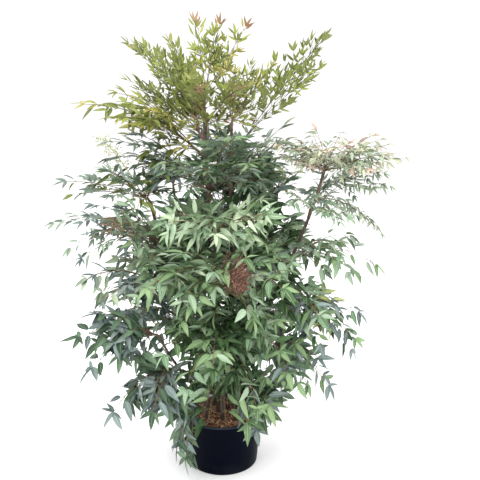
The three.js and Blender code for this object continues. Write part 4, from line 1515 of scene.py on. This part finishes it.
@dataclass(frozen=True)
class Stray:
    """How far what grows by rule strays from it either way: angles in degrees, the rest as shares.

    Attributes:
        node: where twigs leave a rib.
        turn, twist, long, droop: a twig's angle from its rib, its turn about itself, length and droop.
        fan, pair_fan: the angle of a hand's leaflets, and of those in pairs.
        hang, hang_share: a leaflet's hang, and the part of that which grows with its kind's hang.
        roll, size, width, curl: a leaflet's turn about itself, its size, width and curl.
        ends: where on a frond its young ends begin.
    """

    node: float = 0.035
    turn: float = 9.0
    twist: float = 26.0
    long: float = 0.14
    droop: float = 0.1
    fan: float = 13.0
    pair_fan: float = 14.0
    hang: float = 0.2
    hang_share: float = 0.35
    roll: float = 42.0
    size: float = 0.2
    width: float = 0.12
    curl: float = 0.6
    ends: float = 0.12


STRAY = Stray()


@dataclass(frozen=True)
class Opening:
    """A gap that the leaves leave in front of something, between two sloping planes. Metres.

    Attributes:
        left, right: the x that it lies between.
        back: the y that it ends at; it has no front.
        slope: how far its planes fall for each metre towards the back.
        low, high: the z of the planes at y = 0.
    """

    left: float
    right: float
    back: float
    slope: float
    low: float
    high: float

    def holds(self, places: Array) -> Array:
        """Which of the places lie in it."""
        x, y, z = places.T
        level = z + self.slope * y
        beside = (x > self.left) & (x < self.right) & (y < self.back)
        return beside & (level > self.low) & (level < self.high)


# In front of the bark on the mix, and of two dried heads.
OPENINGS = {
    "bark": Opening(-0.060, 0.042, 0.10, 0.5, -1.0, 0.19),
    "left_head": Opening(-0.37, -0.235, -0.07, 0.27, 0.685, 0.755),
    "front_head": Opening(0.024, 0.080, -0.27, 0.32, 0.511, 0.601),
}
# A hand's leaflets: the side that each stands to, in fans, and its size. The first three are a trio.
HAND = ((0, 1.0), (1, 0.86), (-1, 0.86), (1.75, 0.68), (-1.75, 0.68))


@dataclass
class Foliage:
    """Grows all the sprays: stems, midribs, side twigs of two orders, and leaflets.

    A spray's midribs are those of the frame and, between them, shorter inner ones. Every midrib bears
    pairs of pinnae, every pinna bears pairs of pinnules, and every end bears a trio or a hand of five.

    Attributes:
        effects: the shared node groups.
        fork_share, stem_rise: where a stem ends, as a share of the way to the fronds' tips, and how much
            of their arch it takes.
        stem_radius, stem_tip: its greatest radius in millimetres, and the share left at its end.
        fork_step: how many radii lie between the fronds on it.
        rib_width, rib_tip: a midrib's radius at its root in shares of a leaflet, and the share left at
            its end.
        tip_drop: how far over its way a midrib ends, in shares of what its last leaflet hangs.
        end_room: the room left for the leaflet at a twig's end, in leaflets.
        least_run, least_twig: the shortest midrib in shares of its way, the shortest twig in leaflets.
        full_arch: the length in metres from which a midrib has its whole arch.
        sag, crest: how a twig's middle lies above its chord, in shares of its droop and its length.
        young_from: the share of a frond past which its ends are young.
        past_twigs: how far past the last twigs pairs of leaflets stop, on a midrib and on a pinna.
        nearest: how close to its root they come on a pinna without twigs and on a pinnule.
        pair_size, pair_loss: the size of a rib's first pair of leaflets, and what each further pair loses.
        green_kind: the kind whose midribs are green like its twigs.
        piece_leaflets: the most leaflets in one piece.
        margin: how far leaflets may pass the frame's box, in shares of its sides.
        floor_gap, pot_reach, pot_top: how far they keep from the floor, and the pot's room. Metres.
        lone: a rib up to this many leaflets long ends in a single one.
        stems_made, twigs_made, lots: what has grown so far.
    """

    effects: Effects
    fork_share: float = 0.15
    stem_rise: float = 0.35
    stem_radius: float = 4.4
    stem_tip: float = 0.72
    fork_step: float = 1.5
    rib_width: float = 0.034
    rib_tip: float = 0.45
    tip_drop: float = 0.6
    end_room: float = 0.75
    least_run: float = 0.3
    least_twig: float = 0.22
    full_arch: float = 0.3
    sag: float = 0.3
    crest: float = 0.04
    young_from: float = 0.92
    past_twigs: tuple[float, float] = (0.02, 0.04)
    nearest: tuple[float, float] = (0.15, 0.2)
    pair_size: float = 0.90
    pair_loss: float = 0.03
    green_kind: str = "young"
    piece_leaflets: int = 4000
    margin: float = 0.02
    floor_gap: float = 0.004
    pot_reach: float = 0.124
    pot_top: float = 0.168
    lone: float = 1.3
    stems_made: list[Surface] = field(default_factory=list)
    twigs_made: list[Surface] = field(default_factory=list)
    lots: list[Leaflets] = field(default_factory=list)

    def midribs(self, spray: Spray, index: int) -> tuple[Ribs, Ribs]:
        """Lays a spray's stem and its midribs, as the frame does, and the inner midribs between them.

        Args:
            spray: the spray.
            index: its place in the list, which seeds it.

        Returns:
            The frame's midribs, and the inner ones.
        """
        cane = CANES[spray.cane]
        root, ahead, share = cane.at_height(spray.start or cane.height)
        ends = [polar(spray.bearing[k], spray.reach[k], spray.height[k]) for k in (0, 1)]
        steps = np.linspace(0, 1, spray.fronds)[:, None] if spray.fronds > 1 else np.zeros((1, 1))
        tips = ends[0] + (ends[1] - ends[0]) * steps
        end = root + self.fork_share * (tips.mean(axis=0) - root)
        end = end + UP * spray.arch * self.stem_rise * MM
        long = float(np.linalg.norm(end - root))
        bend = (root + end) / 2 if spray.start else root + ahead * long / 2
        radius = min(self.stem_radius * MM, float(cane.radius_at(share)))
        stem = [root, bend, end]
        rings, collar, collar_fall = 7, 0.3, 1.5
        line, _ = bezier([c[None] for c in stem], np.linspace(0, 1, rings))
        widths = 1 + collar * np.exp(-np.arange(rings) * collar_fall)
        widths = radius * np.linspace(1.0, self.stem_tip, rings) * widths
        self.stems_made.append(tubes(line[None], np.array([[0.0, 1.0, 0.0]]), widths[None], 8))
        order = np.arange(spray.fronds)
        places = 1 - radius * (1 + self.fork_step * order) / long
        start, _ = bezier([c[None] for c in stem], places)
        seeds = 100 * index + 10 * order
        main = self.laid(spray, index, start, tips, seeds)
        inner = KINDS[spray.kind].inner
        number = np.arange(inner.count * spray.fronds)
        frond = number // inner.count
        own = seeds[frond] + 1 + number % inner.count
        aside = np.radians(inner.turn * dealt(own, 50))
        way = self.levelled(tips[frond] - end, inner.level)
        way = turned(way, np.tile(UP, (len(number), 1)), aside)
        part = (inner.near + inner.far + (inner.far - inner.near) * dealt(own, 51)) / 2
        part = part * (1 - inner.shy * np.abs(aside) / math.pi)
        near = end + way * part[:, None]
        lift = inner.lift + inner.rise * dealt(own, 52)
        near = near + UP * (lift * np.linalg.norm(way, axis=1))[:, None]
        set_back, least_back = 0.25, 0.2
        back = np.clip(places[frond] - set_back * (1 + dealt(own, 53)) / 2, least_back, 1)
        start, _ = bezier([c[None] for c in stem], back)
        return main, self.laid(self.dimmed(spray), index, start, near, own)

    @staticmethod
    def levelled(way: Array, least: float) -> Array:
        """Ways let down so far that a share of each one runs level, and none much shorter than the rest."""
        long = np.linalg.norm(way, axis=1, keepdims=True)
        long = np.maximum(long, least * long.max())
        flat = way * [1.0, 1.0, 0.0]
        across = np.maximum(np.linalg.norm(flat, axis=1, keepdims=True), least * long)
        rise = np.sqrt(np.maximum(long**2 - across**2, 0.0)) * np.sign(way[:, 2:])
        return unit(flat) * across + UP * rise

    @staticmethod
    def dimmed(spray: Spray) -> Spray:
        """The spray with the tints of its inner fronds: where its leaves are broad, a darker tint takes the
        third place, as painted shade for the inside of the crown.
        """
        # Painted shade: each commonest tint maps to a darker one for the inner fronds.
        shade_of = {Tint.DEEP: Tint.SHADE, Tint.UPPER: Tint.SHADE, Tint.MIDDLE: Tint.INNER}
        shade_of |= {Tint.SAGE: Tint.MIDDLE, Tint.PALE: Tint.MIDDLE}
        other_tint = shade_of.get(spray.tints[0])
        tints = (*spray.tints[:2], other_tint) if other_tint else spray.tints
        return replace(spray, tints=tints, ends=None)

    def laid(self, spray: Spray, index: int, start: Array, tips: Array, seeds: Array) -> Ribs:
        """Midribs from their starts towards their tips, arched, with room for the last leaflet.

        A frond's top is square to its length: level across it, then rolled, and then turned towards the
        front or the back, whichever side of the middle its tip is on, by its kind's facing.

        Args:
            spray: the spray.
            index: its place in the list.
            start: where they start, (n, 3).
            tips: where their last leaflets end.
            seeds: whole numbers.

        Returns:
            The midribs.
        """
        kind = KINDS[spray.kind]
        chord = unit(tips - start)
        whole = np.linalg.norm(tips - start, axis=1)
        level = np.stack([chord[:, 1], -chord[:, 0], np.zeros(len(chord))], axis=1)
        roll = np.radians(spray.roll + kind.sway * dealt(seeds, 3))
        top = turned(unit(np.cross(level, chord)), chord, roll)
        lit = np.array([0.0, 1.0, 0.0]) * np.where(tips[:, 1:2] > 0, kind.facing, -kind.facing)
        top = unit(top + lit - chord * np.sum(lit * chord, axis=1, keepdims=True))
        leaf = kind.length * MM
        rise = UP * max(kind.hang, 0.0) * leaf * self.tip_drop
        finish = start + (tips - start) * np.maximum(1 - leaf / whole, self.least_run)[:, None] + rise
        arch = UP * spray.arch * MM * np.minimum(1, whole / self.full_arch)[:, None]
        middle = (start + finish) / 2 + arch
        past_the_end = 1.05
        tint = self.tint_of(spray, seeds, np.full(len(seeds), past_the_end))
        return Ribs([start, middle, finish], top, whole, seeds, kind, tint, np.full(len(seeds), index))

    def side_twigs(self, bearers: Ribs, how: Branching, spray: Spray | None) -> Ribs:
        """Side twigs: a pair at each node of each bearer.

        A twig's end lies at node + reach * length * (cos(turn) * tangent + side * sin(turn) * right +
        spread * top), let down by its droop.

        Args:
            bearers: what bears them.
            how: how they leave it.
            spray: the spray that deals out their tints, or None to keep the bearers' tints.

        Returns:
            The twigs.
        """
        kind = bearers.kind
        leaf = kind.length * MM
        bearers = bearers.where(bearers.length > how.least * leaf)
        order = np.arange(how.most)[None]
        share = how.last - order * how.spacing * leaf / bearers.length[:, None]
        share = share + STRAY.node * dealt(bearers.seed[:, None], order + 60)
        fits = share > how.first
        at, along, right = bearers.frames(np.clip(share, 0, 1))
        side = np.array([-1, 1])[None, None]
        seed = bearers.seed[:, None, None] * 37 + order[..., None] * 5 + side
        turn = np.radians(how.turn + STRAY.turn * dealt(seed, 1))
        out = along[:, :, None] * np.cos(turn)[..., None]
        out = out + right[:, :, None] * (side * np.sin(turn))[..., None]
        out = unit(out + bearers.top[:, None, None] * (how.spread * dealt(seed, 7))[..., None])
        reach = how.reach * np.clip(1 - share, 0, 1) ** how.fall
        length = (bearers.length[:, None] * reach)[..., None] * (1 + STRAY.long * dealt(seed, 2))
        rib = np.maximum(length - self.end_room * leaf, self.least_twig * leaf)[..., None]
        droop = (kind.droop + STRAY.droop * dealt(seed, 3))[..., None] * rib
        start = np.broadcast_to(at[:, :, None], out.shape)
        finish = start + out * rib - UP * droop
        middle = (start + finish) / 2 + UP * (self.sag * droop + self.crest * rib)
        top = np.broadcast_to(bearers.top[:, None, None], out.shape)
        top = turned(top, out, np.radians(STRAY.twist * dealt(seed, 4)))
        other_tint = np.broadcast_to(bearers.tint[:, None, None], seed.shape)
        tint = other_tint if spray is None else self.tint_of(spray, seed, share[:, :, None])
        number = np.broadcast_to(bearers.spray[:, None, None], seed.shape)
        controls = [c.reshape(-1, 3) for c in (start, middle, finish)]
        whole = (rib[..., 0] + self.end_room * leaf).reshape(-1)
        twigs = Ribs(controls, top.reshape(-1, 3), whole, seed.ravel(), kind, tint.ravel(), number.ravel())
        twigs = twigs.where(np.broadcast_to(fits[..., None], seed.shape).ravel())
        self.twigs_made.append(twigs.tube(how.rings, *how.radii, 3 if how.rings < 4 else 4))
        return twigs

    def tint_of(self, spray: Spray, seed: Array, share: Array) -> Array:
        """Deals out a spray's tints, and the tint of its young ends past a share of the frond.

        Args:
            spray: the spray.
            seed: whole numbers.
            share: where on the frond each one is.

        Returns:
            A tint's number for each.
        """
        order = list(Tint)
        numbers = np.array([order.index(t) for t in spray.tints])
        pick = np.minimum(((dealt(seed, 5) + 1) / 2 * len(numbers)).astype(int), len(numbers) - 1)
        tint = numbers[pick]
        if spray.ends is not None:
            young = share + STRAY.ends * dealt(seed, 6) > self.young_from
            tint = np.where(young, order.index(spray.ends), tint)
        return tint

    def end_trios(self, ribs: Ribs) -> None:
        """A leaflet ahead and, on all but the shortest ribs, one to each side, at the end of each.

        Broad-leaved kinds have some hands of five, with two more leaflets that stand out square.
        """
        long = ribs.length > self.lone * ribs.kind.length * MM
        hand = long & (dealt(ribs.seed, 61) < ribs.kind.hands)
        at, ahead, right = (v[:, 0] for v in ribs.frames(np.ones((len(ribs.length), 1))))
        for side, size in HAND:
            seed = ribs.seed * 11 + 7 + int(17 * side)
            turn = np.radians(ribs.kind.fan * side + STRAY.fan * dealt(seed, 12))[:, None]
            kept = hand if abs(side) > 1 else long | (side == 0)
            self.add_leaflets(ribs, at, ahead * np.cos(turn) + right * np.sin(turn), size, seed, kept)

    def leaf_pairs(self, ribs: Ribs, first: float, most: int = 7) -> None:
        """Pairs of leaflets along each rib, from its end back towards its root.

        Args:
            ribs: what bears them.
            first: the share of a rib's length that they stop at.
            most: the most pairs on one rib.
        """
        for order in range(1, most + 1):
            share = 1 - order * ribs.kind.pairs * ribs.kind.length * MM / ribs.length
            at, along, right = (v[:, 0] for v in ribs.frames(np.clip(share, 0, 1)[:, None]))
            for side in (-1, 1):
                seed = ribs.seed * 13 + 3 * order + side
                turn = np.radians(ribs.kind.fan + 2 + STRAY.pair_fan * dealt(seed, 13))[:, None]
                way = along * np.cos(turn) + side * right * np.sin(turn)
                size = self.pair_size - self.pair_loss * order
                self.add_leaflets(ribs, at, way, size, seed, share > first)

    def add_leaflets(
        self, ribs: Ribs, root: Array, along: Array, size: float, seed: Array, kept: Array
    ) -> None:
        """Adds a leaflet to each rib, hung by its own weight and rolled a little.

        A leaflet points along its own way let down by the hang, and faces the spray's top made square to
        that.

        Args:
            ribs: what bears them.
            root: where they start, (n, 3).
            along: the way they point before they hang.
            size: their size next to the kind's.
            seed: whole numbers.
            kept: which ribs get one.
        """
        kind = ribs.kind
        hang = kind.hang + (STRAY.hang + STRAY.hang_share * abs(kind.hang)) * dealt(seed, 21)
        way = unit(along - UP * hang[:, None])
        face = ribs.top - way * np.sum(ribs.top * way, axis=1, keepdims=True)
        face = turned(unit(face), way, np.radians(STRAY.roll * dealt(seed, 22)))
        grown = size * (1 + STRAY.size * dealt(seed, 23)) * MM
        width = kind.width * grown * (1 + STRAY.width * dealt(seed, 24))
        curl = kind.curl * (1 + STRAY.curl * dealt(seed, 25))
        lot = Leaflets(root, way, face, kind.length * grown, width, curl, seed, ribs.tint, ribs.spray)
        self.lots.append(lot.where(kept))

    def build(self, box: tuple[Array, Array]) -> None:
        """Grows the crown inside the frame's box, and dresses it.

        Args:
            box: the box's lowest and highest corners.
        """
        table = sprays()
        for index, spray in enumerate(table):
            kind = KINDS[spray.kind]
            width = self.rib_width * kind.length * MM
            made = self.twigs_made if spray.kind == self.green_kind else self.stems_made
            for midribs, own in zip(self.midribs(spray, index), (spray, self.dimmed(spray))):
                made.append(midribs.tube(count=9, start=width, end=self.rib_tip * width, sides=5))
                pinnae = self.side_twigs(midribs, kind.pinnae, own)
                pinnules = self.side_twigs(pinnae, kind.pinnules, None)
                for ribs in (midribs, pinnae, pinnules):
                    self.end_trios(ribs)
                bare = pinnae.length <= kind.pinnules.least * kind.length * MM
                self.leaf_pairs(midribs, kind.pinnae.last + self.past_twigs[0])
                self.leaf_pairs(pinnae.where(~bare), kind.pinnules.last + self.past_twigs[1])
                self.leaf_pairs(pinnae.where(bare), self.nearest[0])
                self.leaf_pairs(pinnules, self.nearest[1])
        self.leaf_pieces(self.cleared(Leaflets.of(self.lots), box), [spray.name for spray in table])
        skins = (("stems", self.stems_made, RED_TWIG), ("twigs", self.twigs_made, GREEN_TWIG))
        for name, made, finish in skins:
            make_piece(name, joined(made), finish.material("skin_of_" + name, self.effects), [])

    def cleared(self, leaflets: Leaflets, box: tuple[Array, Array]) -> Leaflets:
        """The leaflets whose tips and middles keep to the box and out of the pot and the openings.

        Args:
            leaflets: all the leaflets.
            box: the box's lowest and highest corners.

        Returns:
            Those that stay.
        """
        low, high = box
        slack = self.margin * (high - low)
        tips = leaflets.tips()
        kept = np.ones(len(tips), bool)
        for places in (tips, (tips + leaflets.root) / 2):
            inside = (places > low - slack) & (places < high + slack)
            reach = np.hypot(places[:, 0], places[:, 1])
            in_pot = (reach < self.pot_reach) & (places[:, 2] < self.pot_top)
            kept &= inside.all(axis=1) & (places[:, 2] > self.floor_gap) & ~in_pot
            for opening in OPENINGS.values():
                kept &= ~opening.holds(places)
        return leaflets.where(kept)

    def leaf_pieces(self, leaflets: Leaflets, names: Sequence[str]) -> None:
        """Joins the leaflets of each tint into pieces, and dresses them.

        Args:
            leaflets: the leaflets.
            names: the frame's nodes, in the sprays' order.
        """
        for number, tint in enumerate(Tint):
            own = leaflets.where(leaflets.tint == number)
            material = tint.value.material("leaf_" + tint.name.lower(), self.effects)
            for part, start in enumerate(range(0, len(own.root), self.piece_leaflets)):
                some = own.where(np.arange(len(own.root)) // self.piece_leaflets == part)
                nodes = [names[k] for k in np.unique(some.spray)]
                label = f"leaves_{tint.name.lower()}" + (f"_{part + 1}" if start else "")
                make_piece(label, some.surface(), material, nodes)


# ---- Panicles ----------------------------------------------------------------------------------------


@dataclass(frozen=True)
class Panicle:
    """A branched head that carried last season's flowers and berries. Millimetres and degrees.

    Attributes:
        name, cane: what it's called, and the cane that it leaves.
        start: the height at which it leaves it.
        bearing, reach, height: where its tip is.
        finish, slot: its colours, and the record's material slot, which is not used.
        arms, pedicels: how many arms it has, and how many pedicels each has.
        spread: about how long its arms are.
        tall: how much its arms are drawn out upwards.
        bud: a bud's radius.
    """

    name: str
    cane: str
    start: float
    bearing: float
    reach: float
    height: float
    finish: BarkFinish
    slot: str
    arms: int = 42
    pedicels: int = 10
    spread: float = 36.0
    tall: float = 1.5
    bud: float = 1.7

    STALK_RADII = (0.0022, 0.0007)
    ARM_RADII = (0.0009, 0.0005)
    PEDICEL_RADIUS = 0.00036
    RISE = 0.12
    FIRST_ARM, ARM_RUN = 0.5, 0.48
    ARM_LEAN, LEAN_STRAY, ARM_WAY = 0.55, 0.2, math.sqrt(1.3)
    LONGEST, LOSS, ARM_STRAY = 1.25, 0.85, 0.2
    FIRST_PEDICEL = 0.25
    PEDICEL_LEAN, PEDICEL_LEAN_STRAY = 0.7, 0.3
    PEDICEL, PEDICEL_STRAY, PEDICEL_LIFT = 9.0, 3.5, 0.0006
    BUD_STRAY, BUD_STRETCH = 0.25, 1.35

    def build(self, effects: Effects) -> None:
        """Makes the panicle and dresses it.

        Arms leave the stalk's outer half by the golden turn and get shorter towards its tip; small
        pedicels leave each arm the same way, and each ends in a bud.

        Args:
            effects: the shared node groups.
        """
        cane = CANES[self.cane]
        root, _, _ = cane.at_height(self.start)
        tip = polar(self.bearing, self.reach, self.height)
        lift = UP * self.RISE * np.linalg.norm(tip - root)
        controls = [root[None], ((root + tip) / 2 + lift)[None], tip[None]]
        rings = 14
        line, _ = bezier(controls, np.linspace(0, 1, rings)[:, None])
        line = line.reshape(1, -1, 3)
        parts = [tubes(line, UP[None] + 0.3, np.linspace(*self.STALK_RADII, rings)[None], 6)]
        n = np.arange(self.arms)
        share = self.FIRST_ARM + self.ARM_RUN * (n + 0.5) / self.arms
        at, along = bezier([c[0] for c in controls], share)
        side = unit(np.cross(along, UP))
        lean = (self.ARM_LEAN + self.LEAN_STRAY * dealt(n, 31))[:, None]
        out = (turned(side, along, n * GOLDEN_TURN) + along * lean) * [1.0, 1.0, self.tall]
        out_along = (share - self.FIRST_ARM) / (1 - self.FIRST_ARM)
        long = self.spread * MM * (self.LONGEST - self.LOSS * out_along)
        long = long * (1 + self.ARM_STRAY * dealt(n, 32))
        ends = at + out / self.ARM_WAY * long[:, None]
        bend = (at + ends) / 2 + UP * self.RISE * long[:, None]
        rings = 5
        arms, _ = bezier([at[:, None], bend[:, None], ends[:, None]], np.linspace(0, 1, rings)[None])
        radii = np.broadcast_to(np.linspace(*self.ARM_RADII, rings), (len(n), rings))
        parts.append(tubes(arms, along, radii, 4))
        k = np.arange(self.pedicels)[None]
        where = self.FIRST_PEDICEL + (1 - self.FIRST_PEDICEL) * (k + 0.5) / self.pedicels
        where = np.broadcast_to(where, (len(n), self.pedicels))
        base, way = bezier([at[:, None], bend[:, None], ends[:, None]], where)
        seed = n[:, None] * 19 + k
        cross = unit(np.cross(way, along[:, None]))
        lean = (self.PEDICEL_LEAN + self.PEDICEL_LEAN_STRAY * dealt(seed, 33))[..., None]
        spray = unit(turned(cross, way, k * GOLDEN_TURN + seed) + way * lean).reshape(-1, 3)
        base = base.reshape(-1, 3)
        reach = (self.PEDICEL + self.PEDICEL_STRAY * dealt(seed, 34)).reshape(-1, 1) * MM
        bent = base + spray * reach * 0.55 + UP * self.PEDICEL_LIFT
        stems = np.stack([base, bent, base + spray * reach], axis=1)
        radii = np.full((len(stems), 3), self.PEDICEL_RADIUS)
        parts.append(tubes(stems, unit(np.cross(spray, UP + 0.2)), radii, 3))
        size = self.bud * MM * (1 + self.BUD_STRAY * dealt(seed, 35)).reshape(-1)
        parts.append(beads(stems[:, -1], spray, size, self.BUD_STRETCH))
        material = self.finish.material("panicle_" + self.name, effects)
        make_piece("head_" + self.name, joined(parts), material, ["panicle_" + self.name])


PANICLES = (
    Panicle("front", "front", 640, 281, 300, 668, BERRY, "dried_panicle", 46, 11, 44.0, 1.35),
    Panicle("left", "left", 745, 202, 318, 762, DRY, "dried_panicle", 15, 5, 88.0, 0.5, 1.0),
    Panicle("pale", "left", 775, 172, 345, 985, PALE_BUD, "pale_panicle", 20, 6, 36.0, 0.5),
)


# ---- Studio ------------------------------------------------------------------------------------------


@dataclass
class Studio:
    """The pale floor, the soft light and the camera."""

    camera_place: tuple[float, float, float] = (0.0525, -2.0557, 1.2418)
    pitch: float = 14.9
    focal: float = 744.0
    frame: float = 480.0
    floor_side: float = 30.0
    floor_height: float = -0.0004
    floor_tone: float = 0.93
    sky: float = 1.15
    aim: tuple[float, float, float] = (0.0, 0.0, 0.7)

    def build(self) -> None:
        """Makes the floor, the lights and the camera."""
        self.floor()
        self.light("key", (-1.0, -1.8, 3.6), 3.0, 176.0)
        self.light("fill", (2.4, -1.8, 2.0), 2.6, 45.0)
        self.light("back", (0.6, 2.4, 3.4), 2.6, 60.0)
        self.camera()

    def floor(self) -> None:
        """A wide plain floor under a plain sky."""
        half = self.floor_side / 2
        corners = ((-half, -half), (half, -half), (half, half), (-half, half))
        mesh = bpy.data.meshes.new("floor")
        mesh.from_pydata([(x, y, self.floor_height) for x, y in corners], [], [(0, 1, 2, 3)])
        material, _, surface = principled("pale_floor", specular=0.1, roughness=0.9)
        surface.inputs["Base Color"].default_value = (*[self.floor_tone] * 3, 1.0)
        mesh.materials.append(material)
        floor = bpy.data.objects.new("floor", mesh)
        bpy.context.scene.collection.objects.link(floor)
        floor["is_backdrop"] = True
        world = bpy.data.worlds.new("sky")
        world.use_nodes = True
        background = world.node_tree.nodes["Background"]
        background.inputs["Color"].default_value = (1.0, 1.0, 1.0, 1.0)
        background.inputs["Strength"].default_value = self.sky
        bpy.context.scene.world = world
        bpy.context.scene.view_settings.view_transform = "Standard"

    def light(self, name: str, place: tuple[float, float, float], size: float, power: float) -> None:
        """Makes a soft square light that faces the middle of the plant.

        Args:
            name: its name.
            place: where it stands.
            size: its side, in metres.
            power: its power, in watts.
        """
        lamp = bpy.data.lights.new(name, "AREA")
        lamp.shape = "SQUARE"
        lamp.size = size
        lamp.energy = power
        light = bpy.data.objects.new(name, lamp)
        light.location = place
        way = np.array(self.aim) - np.array(place)
        flat = math.hypot(way[0], way[1])
        light.rotation_euler = (math.atan2(flat, -way[2]), 0.0, math.atan2(way[1], way[0]) - math.pi / 2)
        bpy.context.scene.collection.objects.link(light)

    def camera(self) -> None:
        """The camera, level from side to side and pitched a little down."""
        data = bpy.data.cameras.new("camera")
        data.sensor_width = 36.0
        data.lens = self.focal / self.frame * data.sensor_width
        camera = bpy.data.objects.new("camera", data)
        camera.location = self.camera_place
        camera.rotation_euler = (math.radians(90 - self.pitch), 0.0, 0.0)
        bpy.context.scene.collection.objects.link(camera)
        bpy.context.scene.camera = camera


def main() -> None:
    """Loads the frame, and builds and dresses each part of the plant."""
    logging.basicConfig(level=logging.INFO, format="%(message)s")
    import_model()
    frame_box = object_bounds()
    effects = Effects()
    Pot().build()
    PottingMix().build()
    Canes().build(effects)
    Foliage(effects).build((np.array(frame_box[0]), np.array(frame_box[1])))
    for panicle in PANICLES:
        panicle.build(effects)
    Studio().build()
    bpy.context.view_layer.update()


if __name__ == "__main__":
    main()
